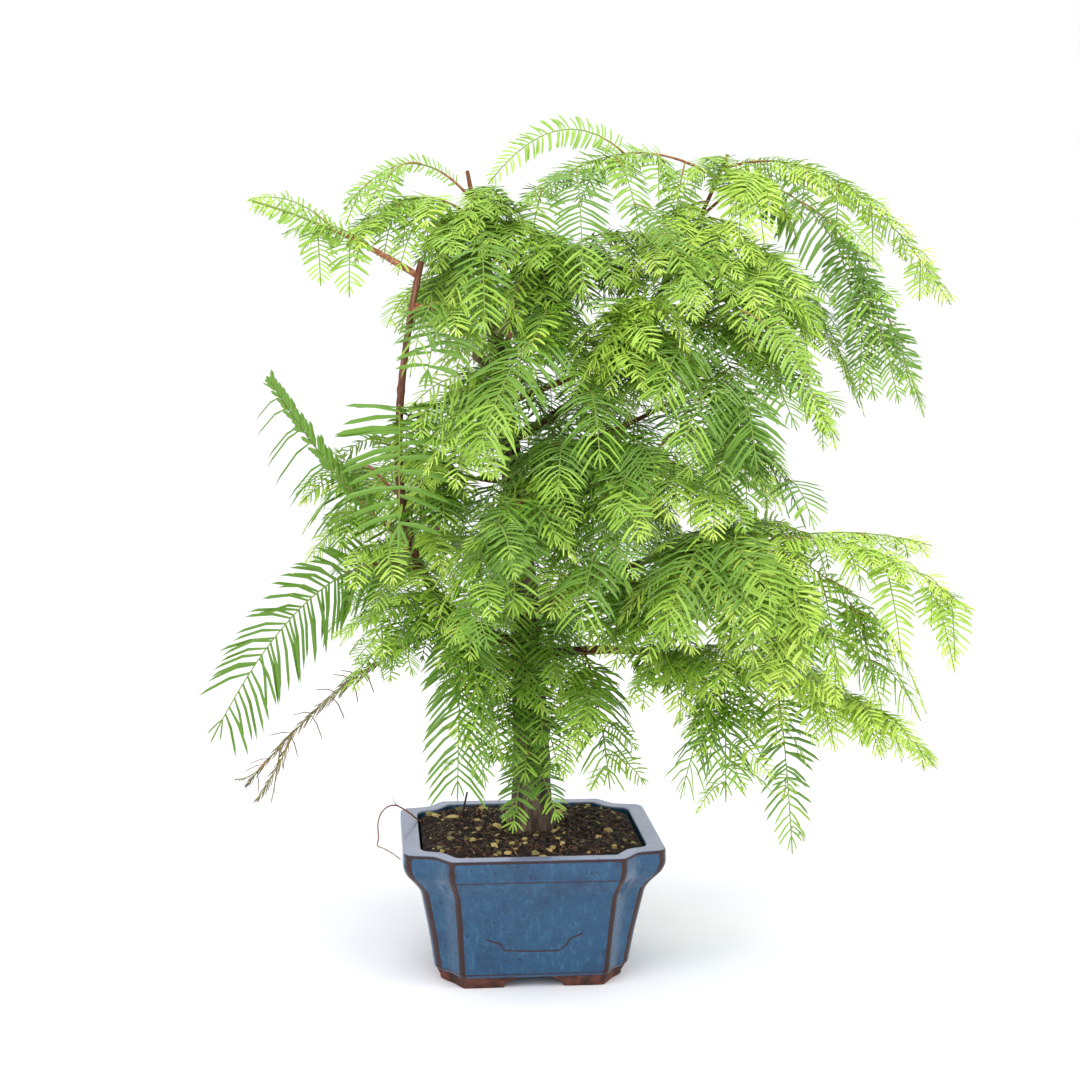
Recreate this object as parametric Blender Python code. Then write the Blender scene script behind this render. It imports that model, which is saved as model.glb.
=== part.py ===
"""A bonsai dawn redwood in its glazed stoneware pot, as separate named solids.

Sizes below are millimetres on axes centred under the pot: +X to the right of its front, +Y away from the
front, +Z up from the floor that its four clay feet stand on. The last step slides the whole plant so that
its crown stands centred over the origin.
"""

import math
from dataclasses import dataclass

import bmesh
import bpy
import numpy as np
from mathutils import Vector
from mathutils.bvhtree import BVHTree

MM = 0.001
GAP = 0.3
UP = np.array([0.0, 0.0, 1.0])
WELD = 0.000002
CAP_WELD = 0.00001
COLLECTION_NAME = "dawn_redwood_bonsai"

# The pot: a rectangle whose corners are cut in, with a flat lip, a hollow moulding under it and a taper.
# Each (height, inset) pair is one level of its wall.
POT_HALF_WIDTH = 75.5
POT_HALF_DEPTH = 60.0
PANEL_HALF_WIDTH = 49.0
SIDE_HALF_PANEL = 42.5
CORNER_STEP = (2.5, 4.0)
CORNER_HOLLOW = (9.0, 11.0)
DEPTH_SHARE = 0.8
HOLLOW_SHARES = (0.5, 0.75)
PANEL_SHARE = 0.38
FOOT_HEIGHT = 6.5
FOOT_WIDTH = 12.0
FOOT_SUNK = 1.5
FOOT_END_X = (17.0, 10.0)
FOOT_END_Y = (14.0, 8.0)
FOOT_INSET = (22.5, 20.5)
POT_OUTSIDE = (
    (81.0, 0.6), (73.0, 0.0), (67.5, 2.0), (62.0, 6.5), (56.0, 10.5), (30.0, 15.5), (8.5, 18.8), (6.5, 20.5))
POT_INSIDE = ((82.0, 10.5), (70.0, 11.5), (60.0, 16.0), (30.0, 22.0), (13.0, 25.0))
DRAIN_RADIUS = 6.0
DRAIN_OFFSET = 22.0
DRAIN_DEPTH = 20.0

SOIL_CLEARANCE = 1.2
SOIL_EDGE_HEIGHT = 75.0
SOIL_MOUND = ((78.4, 0.78), (80.0, 0.5))

# The trunk leans left as it rises: a power law for the lean and one for the taper, and a flare at the foot.
TRUNK_FOOT = np.array([2.0, 2.0, 80.0 + GAP])
TRUNK_TIP = np.array([-38.0, 10.0, 463.0])
TRUNK_LEAN_POWER = 1.9
TRUNK_FOOT_RADIUS = 11.7
TRUNK_TIP_RADIUS = 1.5
TRUNK_TAPER_POWER = 0.9
TRUNK_FLARE = 3.6
TRUNK_FLARE_HEIGHT = 9.0
TRUNK_RINGS = 17
TRUNK_RING_POWER = 1.25
FOOT_CUT = 2.0
LIMB_RINGS = 8
PATH_STEPS = 400

# Needle sprays. A spray is a blade with a rib and one tooth for every few needles on each side.
TOOTH_PITCH_SHARE = 0.62
TOOTH_PITCH_LEAST = 9.5
TOOTH_ANGLES = (math.radians(62.0), math.radians(36.0))
RIB_WIDTHS = (1.9, 1.0)
BLADE_THICKNESS = (1.2, 0.8)
TWIG_RADII = (1.25, 0.8)
THINNER = (0.0, 0.25, 0.4)
TOOTH_RISE = (0.75, 1.0)
TOOTH_TAPER = (0.6, 2.2)
TOOTH_DROOP = 0.1
CLEARANCE = 0.7
PROBE_START = 1.5
DISC_SHARES = (0.0, 0.4, 0.7, 1.0)

# How a side spray leaves its shoot: the fork is measured in plan, the fall below the level.
FORK = math.radians(58.0)
FORK_SPREAD = math.radians(12.0)
FALL = math.radians(38.0)
FALL_SPREAD = math.radians(16.0)
SIDE_SPAN = (0.22, 0.66)
SIDE_SHORTENING = 0.3
SIDE_SPREAD = 0.12
FIRST_SLOT = 0.31
SIDE_ARCH = 0.16
SIDE_BARE = 0.06
SEED = 1000
SLOT_STEP = 0.618

BARK_BROWN = (0.13, 0.075, 0.05)
GLAZE_BLUE = (0.05, 0.13, 0.28)
SOIL_BROWN = (0.07, 0.045, 0.03)
NEEDLE_GREEN = (0.12, 0.3, 0.05)


@dataclass(frozen=True)
class Limb:
    """A bough: where it leaves the trunk (its height), the elbow it bends by, its tip, its two radii and,
    where it bends round a wide gap, the share of its length at which it is made in two."""

    height: float
    elbow: tuple
    tip: tuple
    radii: tuple
    bend: float = 0.0


@dataclass(frozen=True)
class Shoot:
    """A leafy shoot: what carries it and how far along, its tip, the rise of its middle over the chord, the
    share of it that is bare, its side sprays and their length, its needles' length and its plane's turn."""

    on: object
    at: float
    tip: tuple
    arch: float = 8.0
    bare: float = 0.1
    sides: int = 0
    length: float = 45.0
    needle: float = 17.0
    roll: float = 0.0


LIMBS = {
    "bough_right_high": Limb(312, (55, 12, 332), (114, 22, 476), (3.5, 1.5)),
    "bough_left": Limb(192, (-108, -38, 212), (-65, -25, 411), (3.3, 1.6), bend=0.44),
    "bough_right_mid": Limb(206, (45, -25, 250), (109, -60, 257), (2.9, 1.3)),
    "bough_right_low": Limb(184, (75, -50, 208), (142, -58, 174), (3.0, 1.4)),
    "bough_left_thin": Limb(287, (-28, -2, 286), (-48, -8, 295), (1.3, 0.9)),
    "bough_right_thin": Limb(298, (45, -12, 312), (92, -24, 345), (2.0, 1.2)),
    "bough_inner_right": Limb(332, (25, 4, 346), (62, 2, 370), (2.2, 1.2)),
    "bough_front": Limb(262, (-12, -45, 262), (-12, -72, 285), (2.2, 1.3)),
    "bough_front_low": Limb(172, (-22, -24, 182), (-42, -34, 214), (2.2, 1.3)),
    "bough_back_left": Limb(232, (-40, 62, 236), (-92, 92, 286), (3.0, 1.4)),
    "bough_back_right": Limb(252, (48, 55, 258), (96, 98, 306), (3.0, 1.4)),
    "bough_back_high": Limb(346, (-14, 52, 352), (2, 88, 414), (2.6, 1.3)),
    "bough_back_low": Limb(198, (4, 62, 208), (12, 112, 206), (2.6, 1.3)),
}

# Each mass is a list of shoots: the first grows on a limb, and the others on a shoot of the same mass.
MASSES = {
    "foliage_left_near": (
        Shoot("bough_left", 0.78, (-78, -72, 254), arch=24, bare=0.2, needle=32),
    ),
    "foliage_left_long": (
        Shoot("bough_left", 0.42, (-180, -64, 157), arch=34, bare=0.3, needle=28, roll=-75),
    ),
    "foliage_top_left_arm": (
        Shoot("bough_left", 0.98, (-155, -42, 441), arch=4, bare=0.5, needle=14, roll=50),
        Shoot(0, 0.55, (-158, -30, 442), arch=7, bare=0.05, needle=13, roll=40),
        Shoot(0, 0.62, (-119, -52, 397), arch=5, bare=0.05, needle=13),
        Shoot(0, 0.42, (-104, -50, 391), arch=7, bare=0.05, needle=15),
    ),
    "foliage_left_crest": (
        Shoot("bough_left", 0.94, (-33, -42, 372), arch=3, bare=0.45, sides=2, length=36, needle=16),
        Shoot(0, 0.48, (-64, -62, 343), arch=10, bare=0.08, needle=30),
    ),
    "foliage_upper_left_arch": (
        Shoot("trunk", 446, (-107, -8, 439), arch=25, bare=0.12, sides=3, length=34, needle=16, roll=50),
        Shoot(0, 0.4, (-96, -30, 436), arch=10, needle=14, roll=20),
    ),
    "foliage_second_arch": (
        Shoot("trunk", 434, (-104, -24, 418), arch=20, bare=0.2, sides=4, length=38, needle=15, roll=20),
        Shoot(0, 0.35, (-78, -34, 403), arch=9, needle=16),
    ),
    "foliage_crest_arch": (
        Shoot("bough_right_high", 0.95, (-5, -6, 446), 20, bare=0.4, sides=4, length=46, needle=18, roll=35),
        Shoot(0, 0.5, (-27, -4, 455), arch=21, bare=0.04, needle=16, roll=50),
        Shoot(0, 0.76, (22, -28, 399), arch=8, bare=0.05, needle=20),
        Shoot(0, 0.33, (89, 0, 422), arch=9, needle=16),
        Shoot(0, 0.56, (58, -24, 420), arch=10, needle=17),
        Shoot(0, 0.92, (-8, -38, 404), arch=8, needle=18),
        Shoot(0, 0.18, (76, -6, 412), arch=6, needle=16),
    ),
    "foliage_leader": (
        Shoot("trunk", 428, (-30, -44, 373), arch=20, bare=0.15, sides=5, length=46, needle=20),
        Shoot(0, 0.3, (4, -24, 436), arch=12, needle=15),
        Shoot(0, 0.1, (-45, -22, 433), arch=6, needle=14),
    ),
    "foliage_right_crest": (
        Shoot("bough_right_high", 0.94, (139, -12, 438), arch=16, sides=3, length=40, needle=19),
    ),
    "foliage_far_right": (
        Shoot("bough_right_high", 0.97, (250, 18, 391), arch=32, bare=0.12, needle=18, roll=30),
        Shoot(0, 0.36, (156, 12, 437), arch=4, bare=0.05, needle=13),
        Shoot(0, 0.5, (178, 16, 426), arch=4, bare=0.05, needle=13),
        Shoot(0, 0.64, (201, 16, 414), arch=4, bare=0.05, needle=13),
        Shoot(0, 0.86, (228, 10, 393), arch=3, bare=0.05, needle=12),
    ),
    "foliage_right_fern": (
        Shoot("bough_right_high", 0.86, (208, -10, 352), arch=54, bare=0.36, needle=25, roll=45),
        Shoot(0, 0.6, (232, 4, 325), arch=20, bare=0.2, sides=2, length=30, needle=12, roll=40),
        Shoot(1, 0.5, (190, -4, 336), arch=5, needle=13),
    ),
    "foliage_right_upper": (
        Shoot("bough_right_high", 0.77, (147, -38, 379), arch=14, bare=0.15, sides=3, length=46, needle=20),
        Shoot(0, 0.2, (195, 12, 330), arch=36, bare=0.2, sides=3, length=38, needle=18, roll=30),
        Shoot(0, 0.3, (64, -48, 384), arch=16, bare=0.12, sides=2, length=44, needle=24),
        Shoot(0, 0.45, (111, -44, 373), arch=8, needle=18),
        Shoot(0, 0.7, (138, -36, 362), arch=8, needle=18),
    ),
    "foliage_right_dark": (
        Shoot("bough_right_high", 0.64, (171, -32, 314), 22, 0.15, sides=3, length=44, needle=24, roll=25),
        Shoot(0, 0.4, (140, -56, 322), arch=10, needle=22),
        Shoot(0, 0.28, (119, -36, 314), arch=8, needle=19),
    ),
    "foliage_centre_fan": (
        Shoot("bough_right_high", 0.5, (58, -50, 338), arch=22, bare=0.25, sides=5, length=46, needle=24),
        Shoot(0, 0.3, (27, -48, 317), arch=8, needle=20),
    ),
    "foliage_centre_rachis": (
        Shoot("bough_right_thin", 1.0, (123, -52, 287), arch=22, bare=0.2, sides=2, length=44, needle=29),
        Shoot(0, 0.18, (58, -66, 328), arch=20, bare=0.08, needle=22),
        Shoot(0, 0.45, (76, -74, 294), arch=14, bare=0.08, needle=21),
        Shoot(0, 0.75, (97, -68, 276), arch=6, needle=16),
        Shoot(0, 0.8, (149, -48, 266), arch=9, needle=15),
        Shoot(0, 0.55, (85, -78, 268), arch=8, needle=18),
    ),
    "foliage_umbrella": (
        Shoot("bough_front", 1.0, (-48, -112, 212), arch=14, sides=2, length=46, needle=25),
        Shoot(0, 0.25, (-20, -108, 226), arch=12, needle=21),
    ),
    "foliage_right_chain": (
        Shoot("bough_right_mid", 1.0, (215, -68, 259), 6, bare=0.12, sides=4, length=34, needle=14, roll=30),
        Shoot(0, 0.62, (197, -84, 242), arch=5, needle=14),
        Shoot(0, 0.1, (230, -92, 226), arch=16, sides=3, length=36, needle=14, roll=30),
        Shoot(2, 0.58, (190, -102, 200), arch=7, needle=15),
        Shoot(2, 0.8, (219, -102, 195), arch=5, needle=15),
    ),
    "foliage_right_fan": (
        Shoot("bough_right_mid", 0.72, (126, -104, 222), arch=18, bare=0.15, sides=3, length=46, needle=24),
        Shoot(0, 0.3, (72, -100, 206), arch=12, needle=24),
        Shoot(0, 0.45, (114, -94, 184), arch=8, needle=21),
    ),
    "foliage_right_skirt": (
        Shoot("bough_right_mid", 0.93, (160, -96, 186), arch=26, bare=0.15, sides=3, length=42, needle=22),
        Shoot(0, 0.3, (213, -68, 160), arch=24, sides=4, length=42, needle=21),
        Shoot(1, 0.35, (178, -84, 186), arch=10, needle=20),
        Shoot(0, 0.4, (137, -106, 197), arch=8, needle=19),
        Shoot(1, 0.55, (184, -58, 184), arch=6, needle=18),
        Shoot(0, 0.5, (126, -96, 200), arch=6, needle=20),
    ),
    "foliage_low_arm": (
        Shoot("bough_right_low", 1.0, (224, -66, 132), arch=14, sides=4, length=40, needle=16, roll=30),
        Shoot(0, 0.4, (189, -76, 140), arch=6, needle=16),
    ),
    "foliage_low_hang": (
        Shoot("bough_right_low", 0.93, (141, -72, 88), arch=12, bare=0.15, sides=1, length=40, needle=21),
    ),
    "foliage_low_pair": (
        Shoot("bough_right_low", 0.72, (101, -74, 119), arch=14, bare=0.15, sides=2, length=40, needle=21),
        Shoot(0, 0.25, (78, -66, 118), arch=10, needle=21),
        Shoot(0, 0.1, (84, -84, 177), arch=10, needle=19),
    ),
    "foliage_low_inner": (
        Shoot("bough_right_mid", 0.5, (61, -70, 178), arch=16, bare=0.15, sides=4, length=46, needle=24),
        Shoot(0, 0.3, (92, -76, 162), arch=14, needle=20),
        Shoot(0, 0.1, (25, -66, 204), arch=6, needle=20),
    ),
    "foliage_trunk_right": (
        Shoot("bough_right_low", 0.2, (40, -56, 122), arch=12, bare=0.15, sides=2, length=40, needle=23),
        Shoot(0, 0.3, (20, -62, 142), arch=12, needle=19),
        Shoot(0, 0.15, (14, -50, 124), arch=8, needle=16),
    ),
    "foliage_trunk_foot": (
        Shoot("trunk", 138, (-14, -50, 95), arch=8, bare=0.2, needle=16),
        Shoot(0, 0.3, (12, -48, 100), arch=6, needle=15),
    ),
    "foliage_trunk_left": (
        Shoot("bough_front_low", 1.0, (-48, -66, 121), arch=20, sides=3, length=42, needle=22),
        Shoot(0, 0.3, (-19, -50, 130), arch=12, needle=18),
    ),
    "foliage_withered": (
        Shoot("bough_left", 0.2, (-165, -10, 112), arch=16, bare=0.35, needle=12, roll=36),
    ),
    "foliage_left_low": (
        Shoot("bough_left", 0.16, (-89, -60, 186), arch=22, bare=0.2, sides=3, length=42, needle=21),
        Shoot(0, 0.4, (-114, -66, 209), arch=7, needle=17),
        Shoot(0, 0.1, (-25, -84, 233), arch=14, needle=20),
    ),
    "foliage_left_upturned": (
        Shoot("bough_left", 0.48, (-150, -8, 347), arch=-9, bare=0.25, needle=17, roll=15),
        Shoot(0, 0.05, (-114, -50, 272), arch=10, bare=0.15, needle=24, roll=-40),
        Shoot(0, 0.3, (-112, -6, 306), arch=4, needle=14),
    ),
    "foliage_left_inner": (
        Shoot("bough_left_thin", 1.0, (-64, -46, 250), arch=12, sides=4, length=46, needle=22),
    ),
    "foliage_centre_left": (
        Shoot("trunk", 352, (-46, -84, 304), arch=18, bare=0.25, sides=6, length=50, needle=24),
        Shoot(0, 0.3, (-36, -42, 312), arch=6, needle=18),
    ),
    "foliage_centre_top": (
        Shoot("bough_inner_right", 1.0, (40, -62, 352), arch=24, bare=0.2, sides=6, length=48, needle=23),
    ),
    "foliage_centre_high": (
        Shoot("trunk", 386, (58, -8, 396), arch=30, bare=0.25, sides=7, length=48, needle=23),
        Shoot(0, 0.35, (3, -44, 357), arch=10, needle=20),
        Shoot(0, 0.85, (72, -32, 386), arch=4, needle=18),
        Shoot(0, 0.2, (30, -52, 330), arch=14, needle=20),
    ),
    "foliage_upper_left": (
        Shoot("trunk", 408, (-64, 24, 378), arch=18, bare=0.2, sides=5, length=44, needle=20),
    ),
    "foliage_right_drop": (
        Shoot("bough_right_thin", 0.62, (24, -92, 234), arch=26, bare=0.25, sides=6, length=48, needle=24),
    ),
    "foliage_centre_front": (
        Shoot("bough_right_thin", 0.3, (-14, -84, 252), arch=24, bare=0.25, sides=6, length=48, needle=24),
    ),
    "foliage_back_left": (
        Shoot("bough_back_left", 1.0, (-112, 128, 222), arch=22, sides=6, length=46, needle=25),
    ),
    "foliage_back_left_low": (
        Shoot("bough_back_left", 0.6, (-96, 118, 176), arch=24, bare=0.2, sides=6, length=54, needle=25),
    ),
    "foliage_back_right": (
        Shoot("bough_back_right", 1.0, (172, 118, 262), arch=20, sides=6, length=56, needle=25),
    ),
    "foliage_back_right_low": (
        Shoot("bough_back_right", 0.6, (116, 122, 186), arch=26, bare=0.2, sides=6, length=54, needle=25),
    ),
    "foliage_back_high": (
        Shoot("bough_back_high", 1.0, (20, 134, 356), arch=16, sides=6, length=56, needle=25),
    ),
    "foliage_back_crest": (
        Shoot("bough_back_high", 0.7, (-72, 78, 388), arch=20, bare=0.2, sides=6, length=52, needle=25),
    ),
    "foliage_back_low": (
        Shoot("bough_back_low", 1.0, (24, 158, 138), arch=14, sides=6, length=54, needle=25),
    ),
}


def make_material(name, colour, roughness, coat=0.0):
    """A Principled material of one plain colour."""
    material = bpy.data.materials.new(name)
    material.use_nodes = True
    shader = material.node_tree.nodes["Principled BSDF"]
    shader.inputs["Base Color"].default_value = (*colour, 1.0)
    shader.inputs["Roughness"].default_value = roughness
    shader.inputs["Coat Weight"].default_value = coat
    return material


def add_mesh(name, points, faces, collection):
    """A mesh object from points in millimetres, with its normals turned outwards."""
    mesh = bpy.data.meshes.new(name)
    mesh.from_pydata((np.asarray(points) * MM).tolist(), [], faces)
    form = bmesh.new()
    form.from_mesh(mesh)
    bmesh.ops.recalc_face_normals(form, faces=form.faces)
    form.to_mesh(mesh)
    form.free()
    thing = bpy.data.objects.new(name, mesh)
    collection.objects.link(thing)
    return thing


def loft(rings):
    """Points and faces of a closed solid through rings with the same number of points each."""
    count = len(rings[0])
    points = np.concatenate(rings)
    faces = []
    for level in range(len(rings) - 1):
        low = level * count
        for side in range(count):
            after = (side + 1) % count
            faces.append((low + side, low + after, low + count + after, low + count + side))
    faces.append(tuple(reversed(range(count))))
    faces.append(tuple(range(len(points) - count, len(points))))
    return points, faces


def apply_modifiers(thing):
    """Replaces an object's mesh by its evaluated one, and clears its modifiers."""
    graph = bpy.context.evaluated_depsgraph_get()
    graph.update()
    mesh = bpy.data.meshes.new_from_object(thing.evaluated_get(graph))
    thing.modifiers.clear()
    thing.data = mesh


def unite(name, solids, collection, solver):
    """One object: the first of the solids united with the others by one Boolean on their collection."""
    base, *others = [add_mesh(f"{name}_piece", *solid, collection) for solid in solids]
    group = bpy.data.collections.new(f"{name}_pieces")
    bpy.context.scene.collection.children.link(group)
    for piece in others:
        collection.objects.unlink(piece)
        group.objects.link(piece)
    union = base.modifiers.new("union", "BOOLEAN")
    union.operation = "UNION"
    union.operand_type = "COLLECTION"
    union.collection = group
    union.solver = solver
    apply_modifiers(base)
    for piece in others:
        bpy.data.objects.remove(piece, do_unlink=True)
    bpy.data.collections.remove(group)
    return base


def keep_largest_body(thing):
    """Drops loose scraps and sealed hollows that a union can leave, and says whether the rest is closed."""
    form = bmesh.new()
    form.from_mesh(thing.data)
    bmesh.ops.remove_doubles(form, verts=form.verts, dist=WELD)
    bmesh.ops.dissolve_degenerate(form, edges=form.edges, dist=WELD)
    bmesh.ops.triangulate(form, faces=form.faces)
    waiting = set(form.verts)
    shells = []
    while waiting:
        stack = [waiting.pop()]
        shell = set(stack)
        while stack:
            for edge in stack.pop().link_edges:
                for vert in edge.verts:
                    if vert not in shell:
                        shell.add(vert)
                        waiting.discard(vert)
                        stack.append(vert)
        shells.append(shell)
    shells.sort(key=len)
    for shell in shells[:-1]:
        bmesh.ops.delete(form, geom=list(shell), context="VERTS")
    closed = all(len(edge.link_faces) == 2 for edge in form.edges)
    form.to_mesh(thing.data)
    form.free()
    return closed


def join_solids(name, solids, collection):
    """The solids as one closed body, by the EXACT solver, by MANIFOLD, or else without the last one."""
    while solids:
        for solver in ("EXACT", "MANIFOLD"):
            body = unite(name, solids, collection, solver)
            if keep_largest_body(body):
                body.name = name
                return body
            bpy.data.objects.remove(body, do_unlink=True)
        print(f"{name}: a piece is left out")
        solids = solids[:-1]
    raise ValueError(f"{name} can't be joined")


def cut(thing, cutter):
    """Cuts one solid out of another and removes the cutter."""
    cutter.hide_render = True
    cutter.display_type = "WIRE"
    difference = thing.modifiers.new("cut", "BOOLEAN")
    difference.operation = "DIFFERENCE"
    difference.object = cutter
    apply_modifiers(thing)
    bpy.data.objects.remove(cutter, do_unlink=True)


def quarter_outline(inset):
    """One quarter of the pot's outline, from the side panel round the cut-in corner to the front panel."""
    return np.array([
        (POT_HALF_WIDTH - inset, SIDE_HALF_PANEL - DEPTH_SHARE * inset),
        (POT_HALF_WIDTH - CORNER_STEP[0] - inset, SIDE_HALF_PANEL + CORNER_STEP[1] - DEPTH_SHARE * inset),
        (PANEL_HALF_WIDTH + CORNER_HOLLOW[0] - HOLLOW_SHARES[0] * inset,
         POT_HALF_DEPTH - CORNER_HOLLOW[1] - HOLLOW_SHARES[1] * inset),
        (PANEL_HALF_WIDTH - PANEL_SHARE * inset, POT_HALF_DEPTH - DEPTH_SHARE * inset),
    ])


def pot_ring(height, inset, scale=1.0):
    """The pot's whole outline at one height, its corners mirrored from one quarter."""
    quarter = quarter_outline(inset) * scale
    back = quarter[::-1]
    outline = np.concatenate([quarter, back * (-1, 1), quarter * (-1, -1), back * (1, -1)])
    return np.column_stack([outline, np.full(len(outline), height)])


def foot_ring(height, sunk):
    """One foot's L-shaped section: it follows the pot's corner and ends short of the middle of each side."""
    quarter = quarter_outline(FOOT_INSET[sunk])
    end_x, end_y = FOOT_END_X[sunk], FOOT_END_Y[sunk]
    side_x, front_y = quarter[0][0], quarter[-1][1]
    outline = [
        (side_x, end_y), *quarter, (end_x, front_y), (end_x, front_y - FOOT_WIDTH),
        (side_x - FOOT_WIDTH, front_y - FOOT_WIDTH), (side_x - FOOT_WIDTH, end_y),
    ]
    return np.column_stack([outline, np.full(len(outline), height)])


def build_pot(collection, cutters):
    """The pot with its cavity, two drain holes and four clay feet, as one solid."""
    pot = add_mesh("pot", *loft([pot_ring(z, inset) for z, inset in reversed(POT_OUTSIDE)]), collection)
    cavity = add_mesh("cavity", *loft([pot_ring(z, inset) for z, inset in reversed(POT_INSIDE)]), cutters)
    cut(pot, cavity)
    for side in (-1, 1):
        bpy.ops.mesh.primitive_cylinder_add(
            vertices=12, radius=DRAIN_RADIUS * MM, depth=DRAIN_DEPTH * MM,
            location=(side * DRAIN_OFFSET * MM, 0, DRAIN_DEPTH / 2 * MM))
        cutter = bpy.context.object
        cutter.name = "drain"
        cutter.users_collection[0].objects.unlink(cutter)
        cutters.objects.link(cutter)
        cut(pot, cutter)
    corner, corner_faces = loft([foot_ring(0.0, 0), foot_ring(FOOT_HEIGHT + FOOT_SUNK, 1)])
    feet = [(corner * mirror, corner_faces) for mirror in ((1, 1, 1), (-1, 1, 1), (1, -1, 1), (-1, -1, 1))]
    bowl = solid_of(pot)
    bpy.data.objects.remove(pot, do_unlink=True)
    pot = join_solids("pot", [bowl, *feet], collection)
    pot.data.materials.clear()
    pot.data.materials.append(make_material("blue_glaze", GLAZE_BLUE, 0.25, coat=0.5))
    return pot


def build_soil(collection):
    """The soil: it fills the pot a hair clear of its walls and rises to a low mound round the trunk."""
    floor = POT_INSIDE[-1][0] + GAP
    levels = [(max(z, floor), inset + SOIL_CLEARANCE) for z, inset in reversed(POT_INSIDE[1:])]
    rim_inset = levels[-1][1]
    rings = [pot_ring(z, inset) for z, inset in levels]
    rings += [pot_ring(SOIL_EDGE_HEIGHT, rim_inset)]
    rings += [pot_ring(z, rim_inset, scale) for z, scale in SOIL_MOUND]
    soil = add_mesh("soil", *loft(rings), collection)
    soil.data.materials.append(make_material("bark_soil", SOIL_BROWN, 0.95))
    return soil


def trunk_point(share):
    """The trunk's axis at a share of its height: it leans by a power of the height."""
    lean = np.array([share ** TRUNK_LEAN_POWER, share, share])
    return TRUNK_FOOT + (TRUNK_TIP - TRUNK_FOOT) * lean


def trunk_radius(share):
    """The trunk's radius: a power law from foot to tip, with a flare that dies away above the soil."""
    taper = (TRUNK_FOOT_RADIUS - TRUNK_TIP_RADIUS) * (1.0 - share) ** TRUNK_TAPER_POWER
    rise = share * (TRUNK_TIP[2] - TRUNK_FOOT[2])
    return TRUNK_TIP_RADIUS + taper + TRUNK_FLARE * math.exp(-rise / TRUNK_FLARE_HEIGHT)


def limb_path(limb, count):
    """A bough's axis: a quadratic curve from the trunk's axis, by its elbow, to its tip."""
    share = (limb.height - TRUNK_FOOT[2]) / (TRUNK_TIP[2] - TRUNK_FOOT[2])
    root = trunk_point(share)
    t = np.linspace(0.0, 1.0, count)[:, None]
    return (1 - t) ** 2 * root + 2 * t * (1 - t) * np.array(limb.elbow) + t ** 2 * np.array(limb.tip)


def build_tube(name, points, radii, resolution, material, collection):
    """A tapering round limb: a curve with a bevel, filled caps and a radius at each point, as a mesh."""
    curve = bpy.data.curves.new(name, "CURVE")
    curve.dimensions = "3D"
    curve.bevel_depth = MM
    curve.bevel_resolution = resolution
    curve.use_fill_caps = True
    spline = curve.splines.new("POLY")
    spline.points.add(len(points) - 1)
    for knot, place, radius in zip(spline.points, points, radii):
        knot.co = (*(place * MM), 1.0)
        knot.radius = radius
    source = bpy.data.objects.new(f"{name}_curve", curve)
    collection.objects.link(source)
    graph = bpy.context.evaluated_depsgraph_get()
    graph.update()
    mesh = bpy.data.meshes.new_from_object(source.evaluated_get(graph))
    bpy.data.objects.remove(source, do_unlink=True)
    form = bmesh.new()
    form.from_mesh(mesh)
    bmesh.ops.remove_doubles(form, verts=form.verts, dist=CAP_WELD)
    bmesh.ops.recalc_face_normals(form, faces=form.faces)
    form.to_mesh(mesh)
    form.free()
    mesh.shade_smooth()
    mesh.materials.clear()
    mesh.materials.append(material)
    tube = bpy.data.objects.new(name, mesh)
    collection.objects.link(tube)
    return tube


def solid_of(thing):
    """An object's points, in millimetres, and its faces."""
    points = np.array([vert.co for vert in thing.data.vertices]) / MM
    return points, [tuple(face.vertices) for face in thing.data.polygons]


def tree_of(solids):
    """A search tree over the faces of some solids."""
    points, faces = [], []
    for places, corners in solids:
        first = len(points)
        points += places.tolist()
        faces += [[first + corner for corner in face] for face in corners]
    return BVHTree.FromPolygons(points, faces) if faces else None


def first_clear(path, radius, tree):
    """The first place along a path where a ring of this radius, square to it, stands a gap off the tree."""
    tangents = np.gradient(path, axis=0)
    for step in range(1, len(path) - 1):
        along = Vector(tangents[step]).normalized()
        across = along.orthogonal().normalized()
        other = along.cross(across)
        centre = Vector(path[step])
        disc = [centre + radius * share * (math.cos(a) * across + math.sin(a) * other)
                for share in DISC_SHARES for a in np.linspace(0.0, 2.0 * math.pi, 12, endpoint=False)]
        surface, normal, _, _ = tree.find_nearest(centre)
        outside = (centre - surface).dot(normal) > 0
        if outside and all(tree.find_nearest(place)[3] >= GAP for place in disc):
            return step
    raise ValueError("a shoot never comes clear of what carries it")


def build_limbs(collection):
    """The trunk and its boughs, each bough starting a gap clear of the trunk."""
    shares = np.linspace(0.0, 1.0, TRUNK_RINGS) ** TRUNK_RING_POWER
    points = np.array([trunk_point(share) for share in shares])
    radii = [trunk_radius(share) for share in shares]
    trunk = build_tube("trunk", points, radii, 4, make_material("trunk_bark", BARK_BROWN, 0.9), collection)
    flatten_foot(trunk)
    trunk_tree = tree_of([solid_of(trunk)])
    limbs = {"trunk": trunk}
    for name, limb in LIMBS.items():
        path = limb_path(limb, PATH_STEPS)
        path = path[first_clear(path, limb.radii[0], trunk_tree):]
        radii = np.linspace(*limb.radii, len(path))
        bend = round(limb.bend * len(path))
        stretches = {f"{name}_lower": (0, bend - 1), f"{name}_upper": (bend, len(path) - 1)}
        for node, (first, last) in (stretches if bend else {name: (0, len(path) - 1)}).items():
            rings = LIMB_RINGS if last - first > PATH_STEPS / 2 else LIMB_RINGS - 2
            picks = np.linspace(first, last, rings).astype(int)
            bark = make_material(f"{node}_bark", BARK_BROWN, 0.85)
            limbs[node] = build_tube(node, path[picks], radii[picks], 1, bark, collection)
    return limbs


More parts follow.
